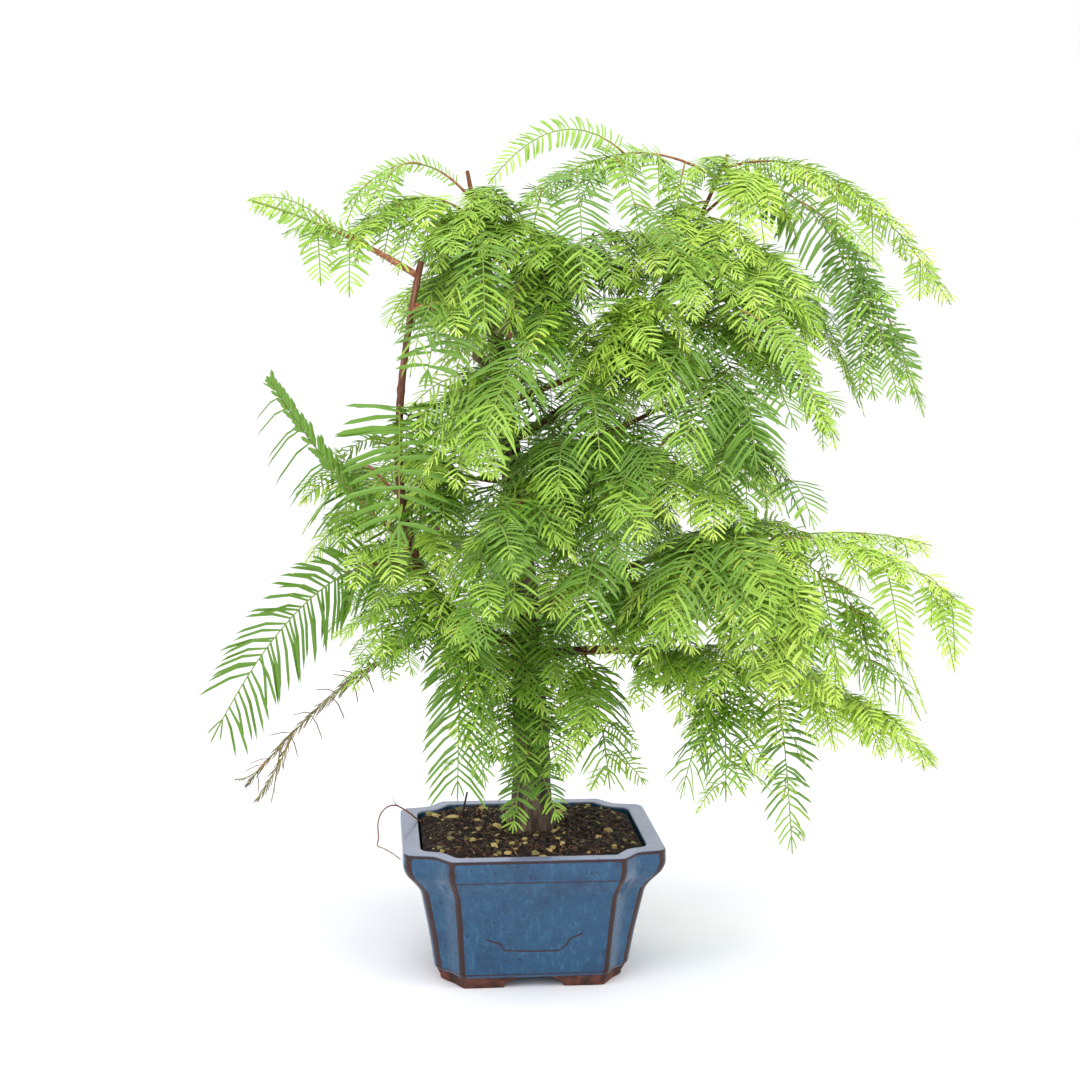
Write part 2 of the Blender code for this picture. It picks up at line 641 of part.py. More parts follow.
def flatten_foot(trunk):
    """Cuts the trunk's foot flat and level, just above the soil."""
    floor = TRUNK_FOOT[2] * MM
    lowest = [vert for vert in trunk.data.vertices if vert.co.z < floor + FOOT_CUT * MM]
    for vert in lowest:
        vert.co.z = floor


def shoot_path(root, tip, arch, count):
    """A shoot's axis: the chord from root to tip, its middle raised by the arch along a parabola."""
    t = np.linspace(0.0, 1.0, count)[:, None]
    return root + (tip - root) * t + UP * (4.0 * arch * t * (1.0 - t))


def spray_axes(path, roll):
    """Along a spray: its directions, the way its needles spread and the way its face looks."""
    chord = path[-1] - path[0]
    level = np.array([chord[0], chord[1], 0.0])
    length = np.linalg.norm(level)
    level = level / length if length > 1.0 else np.array([0.0, -1.0, 0.0])
    along = np.gradient(path, axis=0)
    along /= np.linalg.norm(along, axis=1)[:, None]
    spread = np.tile(np.cross(level, UP), (len(path), 1))
    face = np.cross(spread, along)
    turned = math.cos(math.radians(roll)), math.sin(math.radians(roll))
    return along, spread * turned[0] + face * turned[1], face * turned[0] - spread * turned[1]


@dataclass
class Blade:
    """A toothed blade that stands for a spray of needles: its rib's sections and its teeth's tips."""

    rib: np.ndarray
    spread: np.ndarray
    face: np.ndarray
    teeth: dict
    widths: np.ndarray
    thickness: np.ndarray

    def solid(self, skip=()):
        """Points and faces of the closed blade, leaving out the teeth that are skipped."""
        count = len(self.rib)
        half = self.spread * self.widths[:, None] / 2
        high = self.face * self.thickness[:, None] / 2
        points = [*(self.rib - half + high), *(self.rib + half + high),
                  *(self.rib - half - high), *(self.rib + half - high)]
        faces = [(0, 2 * count, 3 * count, count)]
        last = count - 1
        faces.append((last, count + last, 3 * count + last, 2 * count + last))
        for step in range(last):
            for base, lower in ((0, 2 * count), (count, 3 * count)):
                near, far = base + step, base + step + 1
                near_low, far_low = lower + step, lower + step + 1
                tooth = self.teeth.get((step, base > 0))
                if tooth is None or (step, base > 0) in skip:
                    faces.append((near, far, far_low, near_low))
                    continue
                tip = len(points)
                points.append(tooth)
                faces += [(near, far, tip), (near_low, far_low, tip)]
                faces += [(near, near_low, tip), (far, far_low, tip)]
            faces.append((step, step + 1, count + step + 1, count + step))
            faces.append((2 * count + step, 2 * count + step + 1, 3 * count + step + 1, 3 * count + step))
        return np.array(points), faces

    def tooth_probe(self, key):
        """A fatter copy of one tooth, to test whether it would come too near something."""
        step, right = key
        half = self.spread * self.widths[:, None] / 2 * (1 if right else -1)
        near, far = self.rib[step] + half[step], self.rib[step + 1] + half[step + 1]
        tip = self.teeth[key]
        outward = tip - (near + far) / 2
        outward /= np.linalg.norm(outward)
        tip = tip + outward * CLEARANCE
        near = near + outward * PROBE_START
        far = far + outward * PROBE_START
        high = self.face[step] * (self.thickness[step] / 2 + CLEARANCE)
        points = [near + high, far + high, tip + high, near - high, far - high, tip - high]
        faces = [(0, 1, 2), (3, 5, 4), (0, 3, 4, 1), (1, 4, 5, 2), (2, 5, 3, 0)]
        return BVHTree.FromPolygons([Vector(p) for p in points], faces)

    def rib_probe(self, first):
        """A fatter copy of the rib from one section on, for the same test."""
        half = self.spread * (self.widths[:, None] / 2 + CLEARANCE)
        high = self.face * (self.thickness[:, None] / 2 + CLEARANCE)
        rings = [np.array([self.rib[k] - half[k] + high[k], self.rib[k] + half[k] + high[k],
                           self.rib[k] + half[k] - high[k], self.rib[k] - half[k] - high[k]])
                 for k in range(first, len(self.rib))]
        points, faces = loft(rings)
        return BVHTree.FromPolygons([Vector(p) for p in points], faces)


def make_blade(path, needle, roll, thinner=0.0):
    """The blade along a path: teeth at an even pitch, longest a third of the way up, leaning to the tip."""
    length = np.linalg.norm(np.diff(path, axis=0), axis=1).sum()
    steps = max(3, round(length / max(TOOTH_PITCH_LEAST, TOOTH_PITCH_SHARE * needle)))
    picks = np.linspace(0, len(path) - 1, steps + 1).astype(int)
    along, spread, face = spray_axes(path, roll)
    rib, along, spread, face = path[picks], along[picks], spread[picks], face[picks]
    share = np.linspace(0.0, 1.0, steps + 1)
    widths = RIB_WIDTHS[0] + (RIB_WIDTHS[1] - RIB_WIDTHS[0]) * share
    thickness = (BLADE_THICKNESS[0] - thinner) + (BLADE_THICKNESS[1] - BLADE_THICKNESS[0]) * share
    teeth = {}
    for step in range(steps):
        middle = (share[step] + share[step + 1]) / 2
        angle = TOOTH_ANGLES[0] + (TOOTH_ANGLES[1] - TOOTH_ANGLES[0]) * middle
        reach = needle * min(TOOTH_RISE[1], TOOTH_RISE[0] + middle)
        reach *= 1.0 - TOOTH_TAPER[0] * middle ** TOOTH_TAPER[1]
        for right in (False, True):
            side = 1 if right else -1
            start = (rib[step] + rib[step + 1]) / 2
            way = along[step] * math.cos(angle) + spread[step] * side * math.sin(angle)
            teeth[(step, right)] = start + reach * way - UP * reach * TOOTH_DROOP
    return Blade(rib, spread, face, teeth, widths, thickness)


def twig_solid(path):
    """A three-sided twig along a path."""
    along, spread, face = spray_axes(path, 0.0)
    radii = np.linspace(*TWIG_RADII, len(path))
    rings = []
    for k, place in enumerate(path):
        rings.append(np.array([
            place + radii[k] * (math.cos(a) * spread[k] + math.sin(a) * face[k])
            for a in (math.pi / 2, math.pi * 7 / 6, math.pi * 11 / 6)]))
    return loft(rings)


def side_shoots(shoot, path, seed):
    """The side sprays of a shoot by the seeded rule: slots along it in golden steps, left and right in
    turn, each forking off in plan and falling below the level."""
    draws = np.random.default_rng(seed).uniform(-1.0, 1.0, (shoot.sides, 3)) if shoot.sides else []
    chord = path[-1] - path[0]
    heading = math.atan2(chord[1], chord[0])
    for slot, (turn, dip, size) in enumerate(draws):
        at = SIDE_SPAN[0] + SIDE_SPAN[1] * ((FIRST_SLOT + slot * SLOT_STEP) % 1.0)
        fork = (FORK + FORK_SPREAD * turn) * (1 if slot % 2 else -1)
        fall = FALL + FALL_SPREAD * dip
        length = shoot.length * (1.0 - SIDE_SHORTENING * at) * (1.0 + SIDE_SPREAD * size)
        level = math.cos(fall) * length
        root = path[int(at * (len(path) - 1))]
        tip = root + np.array([
            level * math.cos(heading + fork), level * math.sin(heading + fork), -length * math.sin(fall)])
        yield root, tip, length * SIDE_ARCH


class Crown:
    """Grows the masses: first every shoot of the table, and then the side sprays that still find room."""

    def __init__(self, limbs, collection):
        self.collection = collection
        self.limbs = {name: solid_of(limb) for name, limb in limbs.items()}
        self.solids = {name: [] for name in MASSES}

    def carrier_path(self, name, at):
        """Where a mass's stem starts: on the trunk's axis at a height, or on a bough's at a share."""
        if name == "trunk":
            return trunk_point((at - TRUNK_FOOT[2]) / (TRUNK_TIP[2] - TRUNK_FOOT[2]))
        return limb_path(LIMBS[name], 201)[round(at * 200)]

    def others(self, mass):
        """A search tree of the limbs and of every mass but one."""
        rest = [solid for name, solids in self.solids.items() if name != mass for solid in solids]
        return tree_of([*self.limbs.values(), *rest])

    def main_paths(self, shoots):
        """The axes of a mass's own shoots, the first from a gap clear of its limb."""
        paths = []
        for shoot in shoots:
            rooted = isinstance(shoot.on, str)
            if rooted:
                root = self.carrier_path(shoot.on, shoot.at)
            else:
                root = paths[shoot.on][int(shoot.at * (len(paths[shoot.on]) - 1))]
            path = shoot_path(root, np.array(shoot.tip, float), shoot.arch, PATH_STEPS)
            if rooted:
                path = path[first_clear(path, TWIG_RADII[0] + 0.1, tree_of(self.limbs.values())):]
            paths.append(path)
        return paths

    def add_spray(self, mass, path, shoot, rank):
        """Adds a bare twig and the blade that carries on from it, and says whether there was room."""
        last = len(path) - 1
        leafy = int(shoot.bare * last)
        blade = make_blade(path[max(0, leafy - last // 20):], shoot.needle, shoot.roll, THINNER[rank])
        others, own = self.others(mass), tree_of(self.solids[mass])
        if blade.rib_probe(1 if rank == 0 else 0).overlap(others):
            return False
        if rank == 2 and own and blade.rib_probe(1).overlap(own):
            return False
        skip = {key for key in blade.teeth if (rank and key[0] == 0)
                or blade.tooth_probe(key).overlap(others) or (own and blade.tooth_probe(key).overlap(own))}
        if rank == 0 or shoot.bare > 0.15:
            twig = path[:leafy + 1 + last // 12]
            sections = 2 + round(shoot.bare * 6)
            picks = np.linspace(0, len(twig) - 1, sections).astype(int)
            self.solids[mass].append(twig_solid(twig[picks]))
        self.solids[mass].append(blade.solid(skip))
        return True

    def grow(self):
        """Grows every mass, and gives the side sprays out in turn so that all sides fill evenly."""
        paths = {}
        for mass, shoots in MASSES.items():
            paths[mass] = self.main_paths(shoots)
            for shoot, path in zip(shoots, paths[mass]):
                if not self.add_spray(mass, path, shoot, 0 if isinstance(shoot.on, str) else 1):
                    print(f"{mass}: a shoot to {shoot.tip} has no room")
        waiting = []
        for number, (mass, shoots) in enumerate(MASSES.items()):
            for index, (shoot, path) in enumerate(zip(shoots, paths[mass])):
                for slot, place in enumerate(side_shoots(shoot, path, SEED + 10 * number + index)):
                    waiting.append((slot, number, index, mass, shoot.needle, place))
        for _, _, _, mass, needle, (root, tip, arch) in sorted(waiting, key=lambda entry: entry[:3]):
            spray = Shoot(0, 0.0, tuple(tip), arch, SIDE_BARE, needle=needle)
            self.add_spray(mass, shoot_path(root, tip, arch, PATH_STEPS), spray, 2)

    def join(self):
        """Fuses each mass's twigs and blades into one solid."""
        masses = []
        for name, solids in self.solids.items():
            mass = join_solids(name, solids, self.collection)
            mass.data.materials.clear()
            mass.data.materials.append(make_material(f"{name}_needles", NEEDLE_GREEN, 0.55))
            masses.append(mass)
        return masses


def centre_over_origin(things):
    """Slides every piece so that the box round the plant is centred over the origin."""
    corners = np.array([vert.co for thing in things for vert in thing.data.vertices])
    middle = (corners.min(axis=0) + corners.max(axis=0)) / 2
    for thing in things:
        thing.location = (-middle[0], -middle[1], 0.0)
    return middle


def main():
    """Builds the pot, the soil, the limbs and the crown."""
    for old in list(bpy.data.objects):
        bpy.data.objects.remove(old, do_unlink=True)
    collection = bpy.data.collections.new(COLLECTION_NAME)
    cutters = bpy.data.collections.new(f"{COLLECTION_NAME}_cutters")
    bpy.context.scene.collection.children.link(collection)
    bpy.context.scene.collection.children.link(cutters)
    things = [build_pot(collection, cutters), build_soil(collection)]
    limbs = build_limbs(collection)
    crown = Crown(limbs, collection)
    crown.grow()
    things += [*limbs.values(), *crown.join()]
    middle = centre_over_origin(things)
    total = 0
    for thing in things:
        thing.data.calc_loop_triangles()
        total += len(thing.data.loop_triangles)
    print(f"{len(things)} pieces, {total} triangles, pot centre at {-middle[0]:.4f}, {-middle[1]:.4f} m")


main()
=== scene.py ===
"""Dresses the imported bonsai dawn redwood: glazed pot, soil with its grit, bark, twigs and single needles.

Sizes are millimetres on the pot's own axes: +X to the right of its front, +Y away from the front and +Z up
from the floor. The last step of each mesh turns them into metres and moves them to where the frame's pot is.
"""

from __future__ import annotations

import logging
import math
from collections.abc import Iterable, Sequence
from dataclasses import dataclass, field
from enum import Enum
from itertools import combinations

import bpy
import numpy as np
from mathutils import Matrix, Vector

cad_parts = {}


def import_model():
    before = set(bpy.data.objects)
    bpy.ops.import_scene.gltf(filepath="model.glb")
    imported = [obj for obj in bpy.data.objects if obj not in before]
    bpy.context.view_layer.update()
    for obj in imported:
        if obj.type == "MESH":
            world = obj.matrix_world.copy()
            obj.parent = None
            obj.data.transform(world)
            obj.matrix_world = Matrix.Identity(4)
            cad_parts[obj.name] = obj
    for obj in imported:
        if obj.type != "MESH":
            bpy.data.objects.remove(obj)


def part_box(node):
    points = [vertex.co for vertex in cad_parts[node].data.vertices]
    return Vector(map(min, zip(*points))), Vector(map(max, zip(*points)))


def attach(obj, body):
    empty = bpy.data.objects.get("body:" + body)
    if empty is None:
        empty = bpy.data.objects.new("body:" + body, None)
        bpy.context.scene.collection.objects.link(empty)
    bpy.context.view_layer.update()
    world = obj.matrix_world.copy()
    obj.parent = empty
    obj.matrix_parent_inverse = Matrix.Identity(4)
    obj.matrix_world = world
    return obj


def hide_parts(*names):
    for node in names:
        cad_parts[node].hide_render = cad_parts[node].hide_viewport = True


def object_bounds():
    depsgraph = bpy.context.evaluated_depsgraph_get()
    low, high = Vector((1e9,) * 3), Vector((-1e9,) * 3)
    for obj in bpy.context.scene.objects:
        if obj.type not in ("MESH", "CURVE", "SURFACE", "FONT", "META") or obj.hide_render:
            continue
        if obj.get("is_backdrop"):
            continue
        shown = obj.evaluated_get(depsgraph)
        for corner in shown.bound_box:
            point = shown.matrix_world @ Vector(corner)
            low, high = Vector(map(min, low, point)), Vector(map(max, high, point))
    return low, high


log = logging.getLogger("dawn_redwood_bonsai")

MM = 0.001
BODY = "root"
UP = np.array([0.0, 0.0, 1.0])
PIECE_TRIANGLES = 190_000
NEEDLE_POINTS = 10
NEEDLE_TRIANGLES = 16
GRAIN_ALONG = 0.12
GRAIN_APART = 0.37
Colour = tuple[float, float, float]


def srgb(red: int, green: int, blue: int) -> Colour:
    """Turns a screen colour from 0 to 255 into a shader's linear one: each part to the power 2.2."""
    return tuple((part / 255.0) ** 2.2 for part in (red, green, blue))


# Shader nodes as Python expressions


class Wire:
    """One output socket of a recipe, with arithmetic that adds Math nodes."""

    def __init__(self, recipe: Recipe, socket: bpy.types.NodeSocket) -> None:
        """Keeps the recipe and the socket."""
        self.recipe = recipe
        self.socket = socket

    def _math(self, operation: str, first: Wire | float, second: Wire | float = 0.0) -> Wire:
        """Adds one Math node and returns its result."""
        return self.recipe.node("ShaderNodeMath", {"operation": operation}, {0: first, 1: second})

    def __add__(self, other: Wire | float) -> Wire:
        """This value plus another."""
        return self._math("ADD", self, other)

    __radd__ = __add__

    def __mul__(self, other: Wire | float) -> Wire:
        """This value times another."""
        return self._math("MULTIPLY", self, other)

    __rmul__ = __mul__

    def __sub__(self, other: Wire | float) -> Wire:
        """This value less another."""
        return self._math("SUBTRACT", self, other)

    def __rsub__(self, other: Wire | float) -> Wire:
        """Another value less this one."""
        return self._math("SUBTRACT", other, self)

    def step(self, low: float, high: float) -> Wire:
        """Rises smoothly from 0 to 1 as this value goes from low to high."""
        return self.recipe.node("ShaderNodeMapRange", {"interpolation_type": "SMOOTHSTEP"}, {
            "Value": self, "From Min": low, "From Max": high})


class Recipe:
    """A material under construction: a Principled shader and the nodes that feed it."""

    def __init__(self, name: str) -> None:
        """Starts a material of that name."""
        self.material = bpy.data.materials.new(name)
        self.material.use_nodes = True
        self.tree = self.material.node_tree
        self.shader = self.tree.nodes["Principled BSDF"]

    def node(self, kind: str, settings: dict | None = None, sockets: dict | None = None,
             output: int | str = 0) -> Wire:
        """Adds any node: its settings first, then the values or links of its sockets.

        Args:
            kind: The node's type.
            settings: Attributes of the node; "stops" gives a ramp's places and colours.
            sockets: Input sockets by name or number, each a Wire, a number or a tuple.
            output: The output that is handed back.

        Returns:
            That output as a Wire.
        """
        made = self.tree.nodes.new(kind)
        for key, value in (settings or {}).items():
            if key != "stops":
                setattr(made, key, value)
                continue
            ramp = made.color_ramp
            while len(ramp.elements) < len(value):
                ramp.elements.new(1.0)
            for element, (place, colour) in zip(ramp.elements, value):
                element.position = place
                element.color = (*colour, 1.0)
        for key, value in (sockets or {}).items():
            self.feed(made.inputs[key], value)
        return Wire(self, made.outputs[output])

    def feed(self, socket: bpy.types.NodeSocket, value: Wire | float | Sequence[float]) -> None:
        """Links a wire into a socket, or sets the socket's own value."""
        if isinstance(value, Wire):
            self.tree.links.new(value.socket, socket)
        elif isinstance(value, (tuple, list)) and len(value) == 3 and socket.type == "RGBA":
            socket.default_value = (*value, 1.0)
        else:
            socket.default_value = value

    def place(self, stretch: Sequence[float] = (1.0, 1.0, 1.0)) -> Wire:
        """Object coordinates, stretched along each axis."""
        spot = self.node("ShaderNodeTexCoord", output="Object")
        return self.node("ShaderNodeMapping", {}, {"Vector": spot, "Scale": stretch})

    def attribute(self, name: str, output: str = "Fac") -> Wire:
        """The piece's own attribute of that name."""
        return self.node("ShaderNodeAttribute", {"attribute_name": name}, output=output)

    def noise(self, vector: Wire, scale: float, detail: float = 3.0, rough: float = 0.5) -> Wire:
        """Fractal noise from about 0.3 to 0.7."""
        return self.node("ShaderNodeTexNoise", {}, {
            "Vector": vector, "Scale": scale, "Detail": detail, "Roughness": rough}, "Fac")

    def mix(self, factor: Wire | float, first: Wire | Colour, second: Wire | Colour) -> Wire:
        """A colour between two others."""
        return self.node("ShaderNodeMix", {"data_type": "RGBA"}, {0: factor, 6: first, 7: second}, 2)

    def bump(self, height: Wire, distance: float, strength: float = 1.0) -> Wire:
        """A Bump node from a height in parts of that distance, in metres."""
        return self.node("ShaderNodeBump", {}, {
            "Height": height, "Distance": distance, "Strength": strength}, "Normal")

    def finish(self, **sockets: Wire | float | Sequence[float]) -> bpy.types.Material:
        """Feeds the Principled shader, an underscore standing for a space in a socket's name."""
        for key, value in sockets.items():
            self.feed(self.shader.inputs[key.replace("_", " ")], value)
        return self.material


# Finishes


@dataclass(frozen=True)
class GlazeFinish:
    """Blue stoneware glaze: it pools darker in hollows, breaks to brown on edges and has a pale lavender
    painted highlight on the lip's top.
    """

    name: str = "blue_glaze"
    blue: Colour = srgb(33, 74, 106)
    pale: Colour = srgb(52, 98, 132)
    deep: Colour = srgb(18, 46, 76)
    brown: Colour = srgb(54, 32, 30)
    lip_highlight: Colour = srgb(150, 156, 186)
    pit: Colour = srgb(30, 26, 34)
    roughness: float = 0.2
    relief: float = 0.00035

    def build(self) -> bpy.types.Material:
        """Returns the glaze as a material."""
        recipe = Recipe(self.name)
        spot = recipe.place()
        runs = recipe.noise(recipe.place((1.0, 1.0, 0.45)), 330.0, 5.0, 0.7)
        clouds = recipe.noise(spot, 55.0, 3.0)
        fine = recipe.noise(spot, 1400.0, 2.0)
        pits = recipe.noise(spot, 520.0, 1.0).step(0.7, 0.74)
        freckles = recipe.noise(recipe.place((1.0, 1.0, 0.8)), 1500.0, 2.0, 0.7).step(0.5, 0.66)
        colour = recipe.mix(runs.step(0.46, 0.7) * 0.8, self.blue, self.pale)
        colour = recipe.mix(clouds.step(0.5, 0.72) * 0.5, colour, self.deep)
        colour = recipe.mix(freckles * 0.5, colour, self.deep)
        # Painted highlight: the lip's top is mixed towards a pale lavender that stands in for the light it
        # catches.
        lip = recipe.attribute("lip")
        colour = recipe.mix(lip * (0.72 + 0.4 * (clouds - 0.5)), colour, self.lip_highlight)
        wear = recipe.attribute("edge") * (0.15 + 1.7 * recipe.noise(spot, 240.0, 5.0, 0.7))
        wear = wear.step(0.42, 0.8)
        colour = recipe.mix(wear, colour, self.brown)
        colour = recipe.mix(pits * 0.85, colour, self.pit)
        height = fine * 0.25 + runs * 0.35 - pits * 1.2 - wear * 0.5
        return recipe.finish(
            Base_Color=colour, Roughness=self.roughness + 0.16 * wear + 0.3 * pits,
            Coat_Weight=0.3 - 0.2 * wear, Coat_Roughness=0.08, Specular_IOR_Level=0.3,
            Normal=recipe.bump(height, self.relief, 0.5))


@dataclass(frozen=True)
class ClayFinish:
    """Bare fired clay with its grain and darker smears."""

    name: str = "fired_clay"
    clay: Colour = srgb(98, 54, 42)
    dark: Colour = srgb(54, 32, 28)
    sand: Colour = srgb(128, 84, 66)
    relief: float = 0.0003

    def build(self) -> bpy.types.Material:
        """Returns the clay as a material."""
        recipe = Recipe(self.name)
        spot = recipe.place()
        grain = recipe.noise(spot, 1500.0, 3.0, 0.7)
        smear = recipe.noise(spot, 110.0, 4.0, 0.6)
        colour = recipe.mix(smear.step(0.4, 0.65), self.clay, self.dark)
        colour = recipe.mix(grain.step(0.58, 0.7) * 0.5, colour, self.sand)
        return recipe.finish(
            Base_Color=colour, Roughness=0.7 + 0.25 * grain, Normal=recipe.bump(grain, self.relief, 0.6))


@dataclass(frozen=True)
class SoilFinish:
    """Dark potting soil with fibres and damp patches."""

    name: str = "potting_soil"
    dark: Colour = srgb(28, 19, 17)
    warm: Colour = srgb(70, 48, 38)
    damp: Colour = srgb(26, 18, 17)
    relief: float = 0.0012

    def build(self) -> bpy.types.Material:
        """Returns the soil as a material."""
        recipe = Recipe(self.name)
        spot = recipe.place()
        crumbs = recipe.noise(spot, 520.0, 5.0, 0.7)
        damp = recipe.noise(spot, 70.0, 3.0).step(0.45, 0.62)
        colour = recipe.mix(crumbs.step(0.42, 0.66), self.dark, self.warm)
        colour = recipe.mix(damp * 0.6, colour, self.damp)
        return recipe.finish(
            Base_Color=colour, Roughness=0.97 - 0.25 * damp, Normal=recipe.bump(crumbs, self.relief, 0.9))


@dataclass(frozen=True)
class GritFinish:
    """Chips and grit: an attribute deals each lump its colour along a ramp, and noise breaks it up."""

    name: str = "grit_and_chips"
    stops: tuple = (
        (0.0, srgb(26, 18, 16)), (0.42, srgb(56, 37, 30)), (0.58, srgb(92, 66, 48)),
        (0.7, srgb(112, 112, 68)), (0.84, srgb(166, 142, 88)), (1.0, srgb(204, 180, 118)))
    relief: float = 0.0006

    def build(self) -> bpy.types.Material:
        """Returns the grit as a material."""
        recipe = Recipe(self.name)
        spot = recipe.place()
        spots = recipe.noise(spot, 900.0, 4.0, 0.7)
        dealt = recipe.attribute("tint") + 0.22 * (spots - 0.5)
        colour = recipe.node("ShaderNodeValToRGB", {"stops": self.stops}, {"Fac": dealt}, "Color")
        return recipe.finish(
            Base_Color=colour, Roughness=0.75 + 0.3 * (spots - 0.5),
            Normal=recipe.bump(spots, self.relief, 0.7))


@dataclass(frozen=True)
class BarkFinish:
    """Fibrous bark whose strips follow the limb by its own grain attribute."""

    name: str
    furrow: Colour
    strip: Colour
    ridge: Colour
    scale: float = 1.0
    shoot: Colour = srgb(138, 88, 56)
    lichen: Colour = srgb(132, 134, 100)
    relief: float = 0.0011

    def build(self) -> bpy.types.Material:
        """Returns the bark as a material."""
        recipe = Recipe(self.name)
        grain = recipe.attribute("grain", "Vector")
        spot = recipe.place()
        strips = recipe.noise(grain, 520.0 * self.scale, 4.0, 0.65)
        flakes = recipe.noise(grain, 190.0 * self.scale, 3.0, 0.55)
        lichen = recipe.noise(spot, 60.0, 4.0, 0.6)
        colour = recipe.mix(strips.step(0.36, 0.56), self.furrow, self.strip)
        colour = recipe.mix((strips * 0.5 + flakes * 0.5).step(0.5, 0.62), colour, self.ridge)
        colour = recipe.mix(lichen.step(0.58, 0.7) * 0.35, colour, self.lichen)
        colour = recipe.mix(recipe.attribute("young") * (0.5 + 0.8 * flakes), colour, self.shoot)
        return recipe.finish(
            Base_Color=colour, Roughness=0.72 + 0.4 * (strips - 0.4),
            Normal=recipe.bump(strips * 0.6 + flakes * 0.5, self.relief, 0.8))


@dataclass(frozen=True)
class TwigFinish:
    """A young stem: thin smooth skin with a few lighter flecks, which turns green where its "young" rises."""

    name: str
    skin: Colour
    fleck: Colour
    green: Colour = srgb(120, 142, 58)
    relief: float = 0.0002

    def build(self) -> bpy.types.Material:
        """Returns the twig's skin as a material."""
        recipe = Recipe(self.name)
        flecks = recipe.noise(recipe.place(), 480.0, 3.0, 0.6)
        skin = recipe.mix(flecks.step(0.45, 0.65), self.skin, self.fleck)
        young = (recipe.attribute("young") + 0.5 * (flecks - 0.5)).step(0.15, 0.75)
        return recipe.finish(
            Base_Color=recipe.mix(young, skin, self.green), Roughness=0.5 + 0.2 * flecks,
            Normal=recipe.bump(flecks, self.relief, 0.4))


class Tint(Enum):
    """The needles' greens from the deepest to the lightest, and the brown of the withered ones."""

    DEEP = srgb(96, 137, 38)
    MID = srgb(134, 174, 56)
    FRESH = srgb(160, 196, 71)
    LIME = srgb(184, 214, 86)
    WITHERED = srgb(112, 92, 64)

    def shifted(self, steps: int) -> Tint:
        """The tint some steps lighter, or darker, within the green ones."""
        greens = [Tint.DEEP, Tint.MID, Tint.FRESH, Tint.LIME]
        if self not in greens:
            return self
        return greens[max(0, min(len(greens) - 1, greens.index(self) + steps))]

    def material(self) -> bpy.types.Material:
        """The needle's material: one plain colour with a waxy gloss."""
        recipe = Recipe(f"needle_{self.name.lower()}")
        return recipe.finish(Base_Color=self.value, Roughness=0.42, Specular_IOR_Level=0.5)


# Meshes from arrays


@dataclass
class Ground:
    """Where the frame's pot stands, and the box that the dressed plant stays in."""

    offset: np.ndarray
    low: np.ndarray
    high: np.ndarray

    def piece(self, name: str, points: np.ndarray, faces: Iterable[np.ndarray], material: bpy.types.Material,
              nodes: Sequence[str] = (), smooth: bool = True, attributes: dict | None = None
              ) -> None:
        """Makes one finished piece of the object, which rides on the plant's body.

        Args:
            name: The piece's name.
            points: Its points in millimetres on the pot's axes.
            faces: Arrays of faces, each with its own number of corners.
            material: Its material.
            nodes: The CAD nodes that it stands for.
            smooth: Whether its faces are shaded smooth.
            attributes: Numbers or vectors for each point, by name.
        """
        faces = [np.asarray(part) for part in faces if len(part)]
        points = points.reshape(-1, 3)
        mesh = bpy.data.meshes.new(name)
        mesh.vertices.add(len(points))
        mesh.vertices.foreach_set("co", (points * MM + self.offset).ravel())
        corners = np.concatenate([part.ravel() for part in faces])
        counts = np.concatenate([np.full(len(part), part.shape[1]) for part in faces])
        mesh.loops.add(len(corners))
        mesh.loops.foreach_set("vertex_index", corners.astype(np.int32))
        mesh.polygons.add(len(counts))
        mesh.polygons.foreach_set("loop_start", (np.cumsum(counts) - counts).astype(np.int32))
        mesh.update(calc_edges=True)
        mesh.validate()
        mesh.polygons.foreach_set("use_smooth", np.full(len(mesh.polygons), smooth))
        for key, values in (attributes or {}).items():
            values = np.asarray(values, dtype=np.float32)
            kind = "FLOAT" if values.ndim == 1 else "FLOAT_VECTOR"
            layer = mesh.attributes.new(key, kind, "POINT")
            layer.data.foreach_set("value" if kind == "FLOAT" else "vector", values.ravel())
        mesh.materials.append(material)
        thing = bpy.data.objects.new(name, mesh)
        bpy.context.scene.collection.objects.link(thing)
        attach(thing, BODY)
        if nodes:
            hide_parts(*nodes)
        log.info("%s: %d faces", name, len(mesh.polygons))


def grid_faces(rows: int, columns: int, wrap: bool = True) -> np.ndarray:
    """Quads between the rows of a grid of points: (row, column), (row, next), (row above, next), (row above).

    Args:
        rows: Rows of points.
        columns: Points in a row.
        wrap: Whether the last column joins the first.

    Returns:
        The quads, one a line.
    """
    row, column = np.meshgrid(np.arange(rows - 1), np.arange(columns if wrap else columns - 1), indexing="ij")
    after = (column + 1) % columns
    quads = np.stack([row * columns + column, row * columns + after,
                      (row + 1) * columns + after, (row + 1) * columns + column], axis=-1)
    return quads.reshape(-1, 4)


def capped_faces(rows: int, columns: int) -> list[np.ndarray]:
    """The quads of a closed wall, its first row's face turned round and its last row's face."""
    first = np.arange(columns)
    return [grid_faces(rows, columns), first[None, ::-1], first[None, :] + (rows - 1) * columns]


def icosahedron() -> tuple[np.ndarray, np.ndarray]:
    """A unit icosahedron: the three turns of (1, golden, 0) with all signs, joined where an edge apart.

    Returns:
        Its twelve points and its twenty faces, which look outwards.
    """
    golden = (1 + math.sqrt(5)) / 2
    base = np.array([(s, t * golden, 0) for s in (-1, 1) for t in (-1, 1)])
    points = np.concatenate([base, base[:, [2, 0, 1]], base[:, [1, 2, 0]]]) / math.hypot(1, golden)
    apart = np.linalg.norm(points[:, None] - points[None], axis=-1)
    linked = apart < np.sort(apart[0])[1] * 1.01
    faces = [(a, b, c) for a, b, c in combinations(range(len(points)), 3)
             if linked[a, b] and linked[b, c] and linked[a, c]]
    outward = [np.dot(np.cross(points[b] - points[a], points[c] - points[a]), points[a]) > 0
               for a, b, c in faces]
    return points, np.array([(a, b, c) if out else (a, c, b) for (a, b, c), out in zip(faces, outward)])


